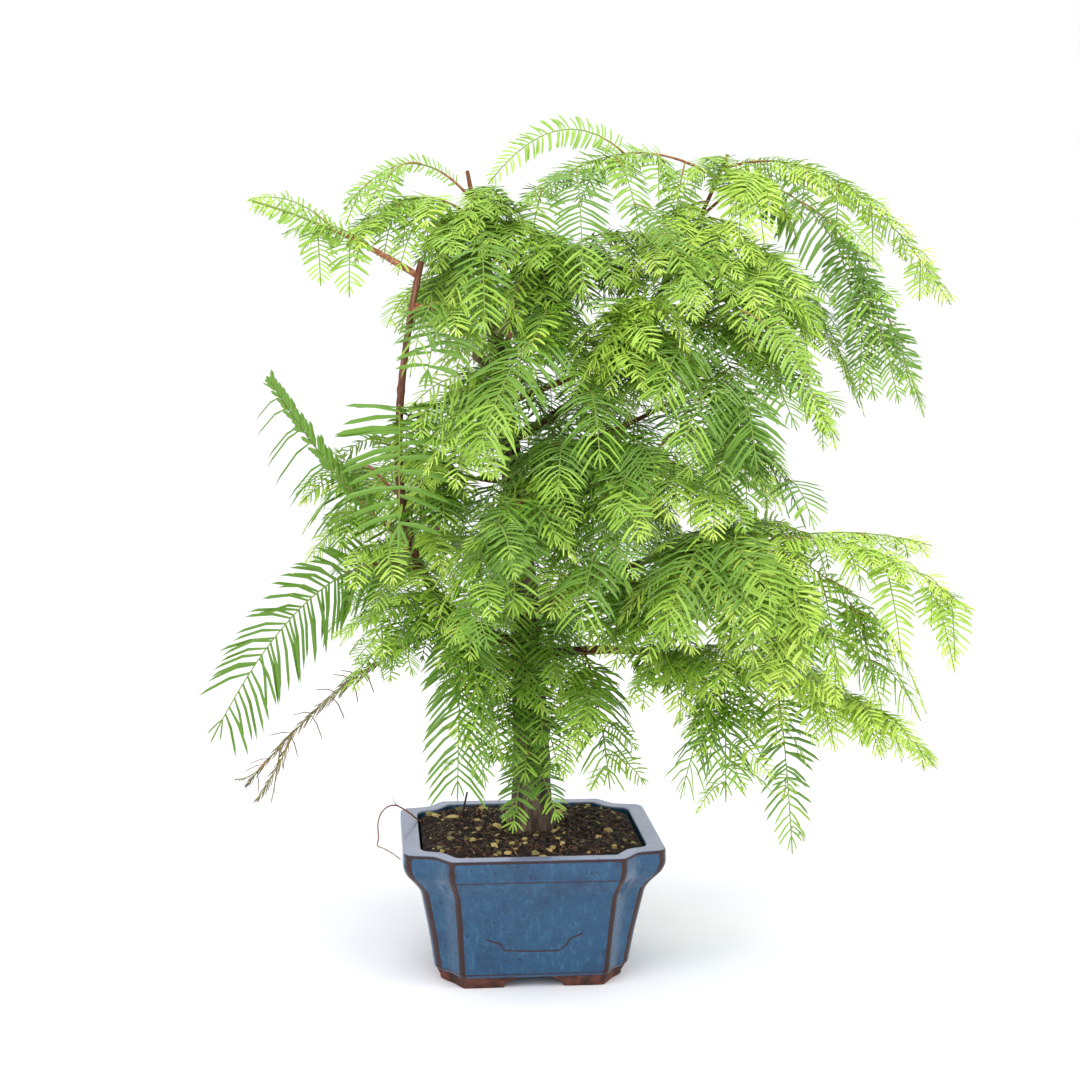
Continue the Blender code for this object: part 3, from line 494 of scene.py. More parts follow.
def value_noise(across: np.ndarray, along: np.ndarray, cells: tuple[int, int], seed: int) -> np.ndarray:
    """Smooth noise from -1 to 1 on a grid of seeded random values, eased between them, periodic both ways.

    Args:
        across: Shares from 0 to 1 in the first direction.
        along: Shares from 0 to 1 in the second direction.
        cells: Cells of the random grid in each direction.
        seed: The seed of its values.

    Returns:
        The noise at each place.
    """
    values = np.random.default_rng(seed).uniform(-1.0, 1.0, cells)
    u, v = across * cells[0], along * cells[1]
    i, j = np.floor(u).astype(int), np.floor(v).astype(int)
    fu, fv = u - i, v - j
    fu, fv = fu * fu * (3 - 2 * fu), fv * fv * (3 - 2 * fv)
    i0, i1, j0, j1 = i % cells[0], (i + 1) % cells[0], j % cells[1], (j + 1) % cells[1]
    low = values[i0, j0] * (1 - fu) + values[i1, j0] * fu
    high = values[i0, j1] * (1 - fu) + values[i1, j1] * fu
    return low * (1 - fv) + high * fv


def rounded(corners: np.ndarray, cuts: Sequence[float], steps: int, closed: bool) -> np.ndarray:
    """Rounds a polyline's corners: each becomes a parabola between points a cut away on its two sides.

    Args:
        corners: The polyline's points, one a line.
        cuts: How far from each corner its curve starts, at most 45% of the shorter side.
        steps: Points on each curve.
        closed: Whether the last point joins the first.

    Returns:
        The rounded line; an open one keeps its two ends.
    """
    before, after = np.roll(corners, 1, axis=0), np.roll(corners, -1, axis=0)
    back, ahead = before - corners, after - corners
    back_length = np.linalg.norm(back, axis=1)
    ahead_length = np.linalg.norm(ahead, axis=1)
    cut = np.minimum(np.asarray(cuts, float), 0.45 * np.minimum(back_length, ahead_length))[:, None]
    start = corners + back / back_length[:, None] * cut
    end = corners + ahead / ahead_length[:, None] * cut
    t = np.linspace(0.0, 1.0, steps)[None, :, None]
    curve = (1 - t) ** 2 * start[:, None] + 2 * t * (1 - t) * corners[:, None] + t ** 2 * end[:, None]
    if closed:
        return curve.reshape(-1, corners.shape[1])
    middle = curve[1:-1].reshape(-1, corners.shape[1])
    return np.concatenate([corners[:1], middle, corners[-1:]])


def resampled(line: np.ndarray, step: float, closed: bool) -> np.ndarray:
    """Where a line is sampled: at its own points, and between them so that no gap is wide.

    Args:
        line: The line's points.
        step: The widest gap between samples.
        closed: Whether the line is closed.

    Returns:
        Fractional point numbers: a point's own number and the share of the way to the next one.
    """
    path = np.concatenate([line, line[:1]]) if closed else line
    lengths = np.linalg.norm(np.diff(path, axis=0), axis=1)
    pieces = [index + np.arange(count) / count
              for index, count in enumerate(np.maximum(1, np.ceil(lengths / step)).astype(int))]
    places = np.concatenate(pieces)
    return places if closed else np.append(places, len(line) - 1.0)


def picked(line: np.ndarray, places: np.ndarray) -> np.ndarray:
    """Points of a line at fractional point numbers, straight between its points and closed at its end."""
    first = np.floor(places).astype(int)
    share = (places - first)[:, None]
    return line[first % len(line)] * (1 - share) + line[(first + 1) % len(line)] * share


def length_of(path: np.ndarray) -> float:
    """A path's length: the sum of its steps."""
    return np.linalg.norm(np.diff(path, axis=0), axis=1).sum()


def dealt(seed: int, count: int) -> list[list[float]]:
    """Three seeded numbers from -1 to 1 for each of so many sprays."""
    return np.random.default_rng(seed).uniform(-1.0, 1.0, (count, 3)).tolist()


def across_axes(paths: np.ndarray) -> tuple[np.ndarray, np.ndarray]:
    """Two directions square to each path: the cross products with the axis that it runs least along.

    Args:
        paths: Paths by stations by three.

    Returns:
        The two unit directions at each station.
    """
    along = np.gradient(paths, axis=1)
    along /= np.linalg.norm(along, axis=2)[..., None]
    least = np.abs(along).max(axis=1).argmin(axis=1)
    reference = np.eye(3)[least][:, None, :]
    side = np.cross(along, reference)
    side /= np.linalg.norm(side, axis=2)[..., None]
    return side, np.cross(along, side)


def tubes(paths: np.ndarray, radii: np.ndarray, sides: int, wave: np.ndarray | float = 0.0
          ) -> tuple[np.ndarray, list[np.ndarray], np.ndarray]:
    """Closed round tubes: centre + radius * (cos * side + sin * other), the radius plus a wave.

    Args:
        paths: Paths by stations by three.
        radii: The radius at each station.
        sides: Points round each station.
        wave: What is added to the radius at each station and side.

    Returns:
        The points, the arrays of faces and each point's grain vector.
    """
    count, stations = radii.shape
    side, other = across_axes(paths)
    turn = np.linspace(0.0, 2.0 * np.pi, sides, endpoint=False)
    reach = (radii[..., None] + wave)[..., None]
    ring = np.cos(turn)[:, None] * side[:, :, None] + np.sin(turn)[:, None] * other[:, :, None]
    points = paths[:, :, None] + reach * ring
    one = grid_faces(stations, sides)
    caps = np.stack([np.arange(sides)[::-1], np.arange(sides) + (stations - 1) * sides])
    shift = (np.arange(count) * stations * sides)[:, None, None]
    steps = np.linalg.norm(np.diff(paths, axis=1), axis=2)
    run = np.concatenate([np.zeros((count, 1)), steps.cumsum(axis=1)], 1)
    mean = radii.mean(axis=1)[:, None, None]
    grain = np.stack(np.broadcast_arrays(
        np.cos(turn) * mean, np.sin(turn) * mean, run[..., None] * GRAIN_ALONG + shift * GRAIN_APART),
        axis=-1) * MM
    faces = [(one + shift).reshape(-1, 4), (caps + shift).reshape(-1, sides)]
    return points.reshape(-1, 3), faces, grain.reshape(-1, 3)


# The pot


@dataclass
class Pot:
    """The glazed pot: a rounded outline at each level of a rounded profile, and four clay feet."""

    half_width: float = 75.5
    half_depth: float = 60.0
    panel_half_width: float = 49.0
    side_half_panel: float = 42.5
    corner_step: tuple = (2.5, 4.0)
    corner_hollow: tuple = (9.0, 11.0)
    depth_share: float = 0.8
    hollow_shares: tuple = (0.5, 0.75)
    panel_share: float = 0.38
    underside_inset: float = 24.0
    outside: tuple = (
        (6.5, 20.5), (8.5, 18.8), (30.0, 15.5), (56.0, 10.5), (62.0, 6.5), (67.5, 2.0), (73.0, 0.0),
        (81.0, 0.6))
    inside: tuple = ((81.0, 10.5), (70.0, 11.5), (60.0, 16.0), (30.0, 22.0), (13.0, 25.0))
    profile_cuts: tuple = (0.0, 1.0, 0.8, 6.0, 3.0, 2.5, 2.5, 2.5, 0.8, 0.9, 2.5, 4.0, 6.0, 0.0)
    profile_steps: tuple = (0.85, 4.0)
    fine_down_to: float = 72.0
    outline_steps: tuple = (0.7, 1.4)
    front_reach: float = 38.0
    corner_points: int = 5
    corner_cuts: tuple = (2.2, 2.0, 3.5, 1.6)
    corner_wear: tuple = (0.25, 0.9, 0.0, 1.0)
    inner_corner_wear: float = 0.3
    rim_wear: tuple = (80.0, 0.85, 1.15)
    line_wear: tuple = (67.8, 0.55, 0.95)
    base_wear: tuple = (9.0, 0.6, 0.85)
    inner_rim_wear: tuple = (80.4, 0.8, 0.5)
    line_inset: float = 2.0
    line_fade: float = 2.0
    lip_starts: tuple = (80.0, 80.9)
    inner_inset: float = 10.0
    cartouche: tuple = (
        (-28.0, 31.0), (-20.0, 28.0), (-17.5, 24.0), (2.5, 23.0), (14.0, 23.4), (17.7, 26.6), (19.6, 30.3),
        (26.5, 33.5))
    groove_depth: float = 0.5
    groove_width: float = 0.9
    groove_wear: float = 1.25
    break_width: float = 0.6
    foot_height: float = 6.5
    foot_levels: tuple = ((0, 0.0), (0, 0.4), (0, 2.0), (1, 6.0), (1, 8.0))
    foot_chamfer: float = 0.5
    foot_corner_cut: float = 1.6
    foot_width: float = 12.0
    foot_ends: tuple = ((17.0, 10.0), (14.0, 8.0))
    foot_inset: tuple = (22.5, 20.5)

    def quarter(self, inset: float) -> np.ndarray:
        """One quarter of the outline, from the side panel round the cut-in corner to the front panel."""
        step, hollow, shares = self.corner_step, self.corner_hollow, self.hollow_shares
        across = self.depth_share * inset
        return np.array([
            (self.half_width - inset, self.side_half_panel - across),
            (self.half_width - step[0] - inset, self.side_half_panel + step[1] - across),
            (self.panel_half_width + hollow[0] - shares[0] * inset,
             self.half_depth - hollow[1] - shares[1] * inset),
            (self.panel_half_width - self.panel_share * inset, self.half_depth - across)])

    def outline(self, inset: float) -> np.ndarray:
        """The whole outline at an inset, counter-clockwise from the right, with its corners rounded."""
        quarter = self.quarter(inset)
        back = quarter[::-1]
        corners = np.concatenate([quarter, back * (-1, 1), quarter * (-1, -1), back * (1, -1)])
        cuts = np.concatenate([self.corner_cuts, self.corner_cuts[::-1]] * 2)
        return rounded(corners, cuts, self.corner_points, closed=True)

    def corner_marks(self) -> np.ndarray:
        """How strongly the glaze breaks at each point of the rounded outline."""
        wear = np.concatenate([self.corner_wear, self.corner_wear[::-1]] * 2)
        return np.repeat(wear, self.corner_points)

    def profile(self) -> np.ndarray:
        """The pot's section from its underside up the wall, over the lip and down inside, as (z, inset)."""
        corners = np.array([(self.foot_height, self.underside_inset), *self.outside, *self.inside])
        line = rounded(corners, self.profile_cuts, self.corner_points, closed=False)
        end = np.flatnonzero(line[:, 0] > self.fine_down_to)[-1]
        close, wide = (resampled(line, step, closed=False) for step in self.profile_steps)
        places = np.concatenate([close[close <= end], wide[wide > end]])
        return picked(line, np.minimum(places, len(line) - 1.001))

    def places(self) -> np.ndarray:
        """Where each outline is sampled: close together on the front panel, where the ornament is cut."""
        line = self.outline(0.0)
        close, wide = (resampled(line, step, closed=True) for step in self.outline_steps)
        near, far = (self.in_front(picked(line, places)) for places in (close, wide))
        return np.unique(np.concatenate([close[near], wide[~far]]))

    def in_front(self, points: np.ndarray) -> np.ndarray:
        """Which points lie on the front panel's middle."""
        return (points[..., 1] < -0.5 * self.half_depth) & (np.abs(points[..., 0]) < self.front_reach)

    def band(self, heights: np.ndarray, wear: tuple) -> np.ndarray:
        """A soft level band of wear, given as its middle, width and strength: a bell curve of the height."""
        middle, width, strength = wear
        return strength * np.exp(-((heights - middle) / width) ** 2)

    def groove(self, across: np.ndarray, height: np.ndarray) -> np.ndarray:
        """The cut ornament: 1 on its line, 0 past its half width, by the distance to each straight piece."""
        spot = np.stack([across, height], axis=-1)
        nearest = np.full(across.shape, 1e9)
        for start, end in zip(self.cartouche[:-1], self.cartouche[1:]):
            start, run = np.array(start), np.array(end) - np.array(start)
            share = np.clip(((spot - start) @ run) / (run @ run), 0.0, 1.0)
            nearest = np.minimum(nearest, np.linalg.norm(spot - start - share[..., None] * run, axis=-1))
        return np.clip(1.0 - nearest / self.groove_width, 0.0, 1.0)

    def build(self, ground: Ground) -> None:
        """Builds the glazed shell, its underside and its feet."""
        profile = self.profile()
        places = self.places()
        rings = np.stack([picked(self.outline(inset), places) for _, inset in profile])
        heights = np.broadcast_to(profile[:, :1], rings.shape[:2])
        marks = self.corner_marks()
        first = np.floor(places).astype(int)
        share = places - first
        start_mark, end_mark = marks[first % len(marks)], marks[(first + 1) % len(marks)]
        rim_line = self.outline(0.0)
        span = np.linalg.norm(rim_line[first % len(marks)] - rim_line[(first + 1) % len(marks)], axis=1)
        near_start = start_mark * np.exp(-(share * span / self.break_width) ** 2)
        near_end = end_mark * np.exp(-((1 - share) * span / self.break_width) ** 2)
        corner = np.broadcast_to(np.maximum(near_start, near_end), heights.shape)
        lip_low, lip_high = self.lip_starts
        outer = (np.arange(len(profile)) < np.argmax(profile[:, 0] > lip_high))[:, None]
        cut = np.where(self.in_front(rings) & outer, self.groove(rings[..., 0], heights), 0.0)
        panel = self.panel_half_width - self.panel_share * self.line_inset
        on_panel = np.clip((panel - np.abs(rings[..., 0])) / self.line_fade, 0.0, 1.0)
        rim = self.band(heights, self.rim_wear) * outer
        top_line = self.band(heights, self.line_wear) * on_panel
        lines = np.maximum(top_line, self.band(heights, self.base_wear)) * outer
        inner_rim = self.band(heights, self.inner_rim_wear) * ~outer * (profile[:, 1:] > self.inner_inset)
        corner = corner * np.where(outer, 1.0, self.inner_corner_wear)
        edge = np.maximum.reduce([corner, rim, lines, inner_rim, cut * self.groove_wear])
        # Where the lip's top gets its painted highlight: the rows past the outer wall, from the lip's start
        # height up.
        lip = np.where(outer, 0.0, 1.0) * np.clip((heights - lip_low) / (lip_high - lip_low), 0.0, 1.0)
        rings = rings.copy()
        rings[..., 1] += cut * self.groove_depth
        points = np.concatenate([rings, heights[..., None]], axis=-1)
        ground.piece("glazed_pot", points, capped_faces(*heights.shape), GlazeFinish().build(),
                     ["pot"], attributes={"edge": edge.ravel(), "lip": lip.ravel()})
        self.build_feet(ground)

    def foot(self) -> tuple[np.ndarray, list[np.ndarray]]:
        """One foot: an L-shaped section that follows the corner, rounded, and drawn in towards the floor."""
        rings = []
        for sunk, height in self.foot_levels:
            quarter = self.quarter(self.foot_inset[sunk] + (self.foot_chamfer if height == 0.0 else 0.0))
            end_x, end_y = self.foot_ends[0][sunk], self.foot_ends[1][sunk]
            side_x, front_y = quarter[0][0], quarter[-1][1]
            width = self.foot_width
            corners = np.array([
                (side_x, end_y), *quarter, (end_x, front_y), (end_x, front_y - width),
                (side_x - width, front_y - width), (side_x - width, end_y)])
            line = rounded(corners, np.full(len(corners), self.foot_corner_cut), 4, closed=True)
            rings.append(np.column_stack([line, np.full(len(line), height)]))
        return np.concatenate(rings), capped_faces(len(rings), len(rings[0]))

    def build_feet(self, ground: Ground) -> None:
        """Builds the four feet as one piece of bare clay, each mirrored from the first."""
        points, faces = self.foot()
        all_points, all_faces = [], []
        for number, mirror in enumerate(((1, 1, 1), (-1, 1, 1), (1, -1, 1), (-1, -1, 1))):
            flip = mirror[0] * mirror[1] < 0
            all_points.append(points * mirror)
            all_faces += [(part[:, ::-1] if flip else part) + number * len(points) for part in faces]
        ground.piece("clay_feet", np.concatenate(all_points), all_faces, ClayFinish().build(),
                     ["pot"])


# The soil


@dataclass
class Soil:
    """The soil's rough surface with chips, grit, a stick, dry needles and one loose root over the rim."""

    pot: Pot
    wall_inset: float = 12.0
    wall_foot: float = 60.0
    wall_taper: float = 0.96
    edge_height: float = 78.6
    plateau: float = 81.6
    fall_start: float = 0.72
    fall_width: float = 0.28
    roughness: float = 1.9
    noise_span: float = 200.0
    rings: int = 110
    spokes: int = 300
    chips: int = 2600
    fibres: int = 260
    seed: int = 41

    def edge(self, angle: np.ndarray) -> np.ndarray:
        """How far the soil reaches in each direction: where a ray meets the inner outline less a hair."""
        line = self.pot.outline(self.wall_inset)
        line = picked(line, resampled(line, self.pot.outline_steps[0], closed=True))
        turn = np.arctan2(line[:, 1], line[:, 0])
        order = np.argsort(turn)
        reach = np.linalg.norm(line, axis=1)[order]
        turn = turn[order]
        return np.interp(angle, np.concatenate([turn - 2 * np.pi, turn, turn + 2 * np.pi]), np.tile(reach, 3))

    def height(self, x: np.ndarray, y: np.ndarray) -> np.ndarray:
        """The soil's level: a plateau that falls off near the walls, with two sizes of noise."""
        share = np.hypot(x, y) / self.edge(np.arctan2(y, x))
        u, v = x / self.noise_span + 0.5, y / self.noise_span + 0.5
        lumps = value_noise(u, v, (16, 16), self.seed) + 0.6 * value_noise(u, v, (43, 43), self.seed + 1)
        crumbs = value_noise(u, v, (110, 110), self.seed + 2)
        fall = np.clip((share - self.fall_start) / self.fall_width, 0.0, 1.0)
        level = self.plateau - (self.plateau - self.edge_height) * fall ** 1.6
        calm = np.clip(12.0 * (1 - share), 0.25, 1.0)
        return level + self.roughness * (0.55 * lumps + 0.45 * crumbs) * calm

    def build(self, ground: Ground) -> None:
        """Builds the surface, what lies on it and the loose root."""
        share = np.linspace(0.0, 1.0, self.rings)[1:, None]
        angle = np.linspace(0.0, 2.0 * np.pi, self.spokes, endpoint=False)[None, :]
        reach = self.edge(angle) * share
        x, y = reach * np.cos(angle), reach * np.sin(angle)
        z = self.height(x, y)
        wall = np.stack([x[-1] * self.wall_taper, y[-1] * self.wall_taper,
                         np.full(self.spokes, self.wall_foot)], axis=-1)
        centre = [[0.0, 0.0, float(self.height(np.array([0.01]), np.array([0.0]))[0])]]
        points = np.concatenate([np.stack([x, y, z], axis=-1).reshape(-1, 3), wall, centre])
        quads, _, bottom = capped_faces(self.rings, self.spokes)
        number = np.arange(self.spokes)
        hub = np.full(self.spokes, len(points) - 1)
        faces = [quads[:, ::-1], bottom[:, ::-1],
                 np.stack([hub, number, (number + 1) % self.spokes], axis=-1)]
        ground.piece("soil_surface", points, faces, SoilFinish().build(), ["soil"])
        self.build_chips(ground)
        self.build_litter(ground)

    def build_chips(self, ground: Ground) -> None:
        """Builds chips and grit: icosahedra with seeded sizes, turns and dents, half sunk in the surface."""
        rng = np.random.default_rng(self.seed + 5)
        count = self.chips
        angle = rng.uniform(0.0, 2.0 * np.pi, count)
        share = np.sqrt(rng.uniform(0.0, 0.94, count))
        reach = self.edge(angle) * share
        x, y = reach * np.cos(angle), reach * np.sin(angle)
        patch = value_noise(x / self.noise_span + 0.5, y / self.noise_span + 0.5, (13, 13), self.seed + 8)
        pale = rng.uniform(0.0, 1.0, count) < 0.05 + 0.2 * np.clip(patch, 0.0, 1.0)
        size = np.where(pale, 1.1 + 2.6 * rng.uniform(0.0, 1.0, count) ** 2, rng.uniform(0.6, 2.0, count))
        stretch = rng.uniform((0.75, 0.6, 0.35), (1.35, 0.95, 0.65), (count, 3)) * size[:, None]
        base, faces = icosahedron()
        corners = len(base)
        lumps = base[None] * stretch[:, None] * rng.uniform(0.78, 1.15, (count, corners, 1))
        lumps += rng.normal(0.0, 0.07, (count, corners, 3)) * size[:, None, None]
        spin = rng.uniform(0.0, 2.0 * np.pi, count)[:, None]
        tilt = rng.normal(0.0, 0.28, (count, 1))
        lx = lumps[..., 0] * np.cos(spin) - lumps[..., 1] * np.sin(spin)
        ly = lumps[..., 0] * np.sin(spin) + lumps[..., 1] * np.cos(spin)
        lz = lumps[..., 2] + lx * np.sin(tilt) * 0.8
        floor = self.height(x, y) + size * rng.uniform(0.0, 0.3, count)
        points = np.stack([lx + x[:, None], ly + y[:, None], lz + floor[:, None]], axis=-1)
        tint = np.where(pale, rng.uniform(0.62, 1.0, count), rng.uniform(0.0, 0.62, count) ** 1.2)
        all_faces = (faces[None] + (np.arange(count) * corners)[:, None, None]).reshape(-1, 3)
        ground.piece("grit_and_chips", points, [all_faces], GritFinish().build(), ["soil"],
                     smooth=False, attributes={"tint": np.repeat(tint, corners)})

    def build_litter(self, ground: Ground) -> None:
        """Builds the loose root over the rim, the dark stick and the dry needles on the soil."""
        root = np.array([
            (-62, 22, 78.5), (-66, 19, 82.5), (-71, 15, 88), (-78, 11, 93.6), (-83, 7, 94.2),
            (-87.5, 2, 91.5), (-89.3, -3, 86.5), (-88.6, -8, 79), (-90, -11, 75.8), (-86, -14, 75.3),
            (-80, -17, 72.6), (-76.2, -19, 70)])
        fork = np.array([(-78, 11, 93.6), (-79.5, 11.4, 96), (-81, 11.8, 98.4)])
        stick = np.array([(-38, 26, 78), (-37.2, 26.5, 86), (-35, 27, 96)])
        pale = TwigFinish("root_skin", srgb(128, 82, 62), srgb(170, 126, 100)).build()
        dark = TwigFinish("stick_skin", srgb(40, 26, 24), srgb(80, 60, 52)).build()
        for name, line, ends, skin in (
                ("loose_root", root, (0.55, 0.34), pale), ("root_fork", fork, (0.3, 0.15), pale),
                ("dead_stick", stick, (0.9, 0.6), dark)):
            line = rounded(line, np.full(len(line), 9.0), 6, closed=False)
            radii = np.linspace(*ends, len(line))[None]
            points, faces, grain = tubes(line[None], radii, 7)
            ground.piece(name, points, faces, skin,
                         attributes={"grain": grain, "young": np.zeros(len(points))})
        self.build_fibres(ground)

    def build_fibres(self, ground: Ground) -> None:
        """Builds fibres and dry needles: short arcs that lie on the surface, their ends a little sunk."""
        stations, sides = 7, 5
        rng = np.random.default_rng(self.seed + 9)
        angle = rng.uniform(0.0, 2.0 * np.pi, (self.fibres, 1))
        reach = self.edge(angle) * np.sqrt(rng.uniform(0.0, 0.86, (self.fibres, 1)))
        heading = rng.uniform(0.0, 2.0 * np.pi, (self.fibres, 1))
        length = rng.uniform(4.0, 12.0, (self.fibres, 1))
        bend = rng.uniform(-0.7, 0.7, (self.fibres, 1))
        t = np.linspace(-0.5, 0.5, stations)[None, :]
        x = reach * np.cos(angle) + length * t * np.cos(heading + bend * t)
        y = reach * np.sin(angle) + length * t * np.sin(heading + bend * t)
        inside = (np.hypot(x, y) < 0.97 * self.edge(np.arctan2(y, x))).all(axis=1)
        z = self.height(x, y) + 0.75 - 2.6 * t ** 2
        paths = np.stack([x, y, z], axis=-1)[inside]
        thick = rng.uniform(0.13, 0.34, (self.fibres, 1))
        radii = np.broadcast_to(thick * (1.0 - 1.2 * t ** 2), x.shape)[inside]
        points, faces, grain = tubes(paths, radii, sides)
        young = np.repeat(rng.uniform(-0.3, 0.5, inside.sum()), stations * sides)
        skin = TwigFinish("fibre_skin", srgb(92, 60, 44), srgb(176, 134, 92), srgb(128, 128, 72)).build()
        ground.piece("soil_fibres", points, faces, skin, ["soil"],
                     attributes={"grain": grain, "young": young})


# Trunk and boughs


@dataclass(frozen=True)
class Limb:
    """A bough: its height on the trunk, the elbow it bends by, its tip, its two radii, its nodes, the share
    by which its outer half is thinner and how young the bark at its tip is."""

    height: float
    elbow: tuple
    tip: tuple
    radii: tuple
    nodes: tuple = ()
    thinned: float = 0.28
    young: float = 1.0


LIMBS = {
    "right_high": Limb(312, (55, 12, 332), (114, 22, 476), (3.5, 1.5)),
    "left": Limb(192, (-108, -38, 212), (-65, -25, 411), (3.3, 1.9),
                 ("bough_left_lower", "bough_left_upper"), thinned=0.0, young=0.4),
    "right_mid": Limb(206, (45, -25, 250), (109, -60, 257), (2.9, 1.3)),
    "right_low": Limb(184, (75, -50, 208), (142, -58, 174), (3.0, 1.4)),
    "left_thin": Limb(287, (-28, -2, 286), (-48, -8, 295), (1.3, 0.9)),
    "right_thin": Limb(298, (45, -12, 312), (92, -24, 345), (2.0, 1.2)),
    "inner_right": Limb(332, (25, 4, 346), (62, 2, 370), (2.2, 1.2)),
    "front": Limb(262, (-12, -45, 262), (-12, -72, 285), (2.2, 1.3)),
    "front_low": Limb(172, (-22, -24, 182), (-42, -34, 214), (2.2, 1.3)),
    "back_left": Limb(232, (-40, 62, 236), (-92, 92, 286), (3.0, 1.4)),
    "back_right": Limb(252, (48, 55, 258), (96, 98, 306), (3.0, 1.4)),
    "back_high": Limb(346, (-14, 52, 352), (2, 88, 414), (2.6, 1.3)),
    "back_low": Limb(198, (4, 62, 208), (12, 112, 206), (2.6, 1.3)),
}


@dataclass
class Trunk:
    """The trunk's axis and taper, and the bark's relief on it and on the boughs."""

    foot: np.ndarray = field(default_factory=lambda: np.array([2.0, 2.0, 80.3]))
    tip: np.ndarray = field(default_factory=lambda: np.array([-38.0, 10.0, 463.0]))
    lean_power: float = 1.9
    foot_radius: float = 11.7
    tip_radius: float = 1.5
    taper_power: float = 0.9
    flare: float = 3.6
    flare_height: float = 9.0
    buried: float = 0.006
    relief: float = 0.75
    lobe_relief: float = 1.1
    lobe_height: float = 14.0
    leader_from: float = 0.86
    leader_thinned: float = 0.3
    bud_gap: float = 21.0
    old_wood: float = 2.8
    seed: int = 61

    def axis(self, share: np.ndarray) -> np.ndarray:
        """The axis at shares of the height: it leans by a power of the height."""
        share = np.asarray(share, float)[..., None]
        lean = np.concatenate([share ** self.lean_power, share, share], axis=-1)
        return self.foot + (self.tip - self.foot) * lean

    def radius(self, share: np.ndarray) -> np.ndarray:
        """The radius at shares of the height: a power law, and a flare that dies away above the soil."""
        share = np.asarray(share, float)
        taper = (self.foot_radius - self.tip_radius) * (1.0 - share) ** self.taper_power
        rise = share * (self.tip[2] - self.foot[2])
        return self.tip_radius + taper + self.flare * np.exp(-rise / self.flare_height)

    def share_at(self, height: float) -> float:
        """The share of the trunk's height at a level."""
        return (height - self.foot[2]) / (self.tip[2] - self.foot[2])

    def bough_path(self, limb: Limb, count: int) -> np.ndarray:
        """A bough's axis: a quadratic curve from the trunk's axis, by its elbow, to its tip."""
        root = self.axis(np.array(self.share_at(limb.height)))
        t = np.linspace(0.0, 1.0, count)[:, None]
        return (1 - t) ** 2 * root + 2 * t * (1 - t) * np.array(limb.elbow) + t ** 2 * np.array(limb.tip)

    def build(self, ground: Ground) -> None:
        """Builds the trunk with its furrows, two cut stubs and all the boughs."""
        self.build_trunk(ground)
        for number, (name, limb) in enumerate(LIMBS.items()):
            self.build_bough(ground, name, limb, number)

    def build_trunk(self, ground: Ground) -> None:
        """Builds the trunk: its radius plus strips of bark, long along it, and root lobes at its foot."""
        rows, sides = 620, 120
        share = np.linspace(-self.buried, 1.0, rows)
        path = self.axis(np.maximum(share, 0.0))
        path[:, 2] = self.foot[2] + share * (self.tip[2] - self.foot[2])
        radius = self.radius(np.maximum(share, 0.0))
        u = np.broadcast_to(np.linspace(0.0, 1.0, sides, endpoint=False), (rows, sides))
        v = np.broadcast_to(share[:, None], (rows, sides))
        wander = 0.02 * value_noise(u, v, (5, 22), self.seed)
        strips = value_noise(u + wander, v, (26, 17), self.seed + 1)
        strips = strips + 0.7 * value_noise(u + 2 * wander, v, (49, 41), self.seed + 2)
        furrow = -np.abs(strips) ** 0.6
        fine = value_noise(u + wander, v, (60, 110), self.seed + 3)
        rise = v * (self.tip[2] - self.foot[2])
        lobes = np.cos(2 * np.pi * 5 * u + 1.3) * np.exp(-np.maximum(rise, 0.0) / self.lobe_height)
        knots = value_noise(u, v, (3, 19), self.seed + 4) * 0.6
        scale = (radius / self.foot_radius)[:, None] ** 0.7
        wave = self.relief * scale * (0.9 * furrow + 0.5 + 0.3 * fine + knots) + self.lobe_relief * lobes
        radius = radius * (1.0 - self.leader_thinned * np.clip((share - self.leader_from) / 0.1, 0.0, 1.0))
        points, faces, grain = tubes(path[None], radius[None], sides, wave[None])
        young = np.repeat(np.clip((share - 0.8) / 0.12, 0.0, 1.0), sides)
        bark = BarkFinish("trunk_bark", srgb(36, 27, 22), srgb(74, 57, 47), srgb(112, 94, 78))
        ground.piece("trunk_bark", points, faces, bark.build(), ["trunk"],
                     attributes={"grain": grain, "young": young})
        self.build_stubs(ground)

    def build_stubs(self, ground: Ground) -> None:
        """Builds two short stubs where old leaders were cut off, each a tube with a swollen collar."""
        stubs = (((-25.0, -3.0, 352.0), (-34.0, -13.0, 361.0), 3.0),
                 ((-20.0, 0.0, 372.0), (-13.0, -9.0, 381.0), 2.5))
        t = np.linspace(0.0, 1.0, 9)
        for name, (start, end, radius) in zip(("pruned_stub_left", "pruned_stub_right"), stubs):
            path = np.array(start) + (np.array(end) - np.array(start)) * t[:, None]
            radii = radius * (1.0 + 0.35 * np.exp(-t * 4.0) + 0.12 * np.exp(-((t - 0.9) / 0.08) ** 2))
            radii[-1] *= 0.8
            points, faces, grain = tubes(path[None], radii[None], 24)
            skin = BarkFinish(f"{name}_wood", srgb(96, 78, 62), srgb(150, 128, 104), srgb(190, 168, 140), 2.0)
            ground.piece(name, points, faces, skin.build(), attributes={"grain": grain})

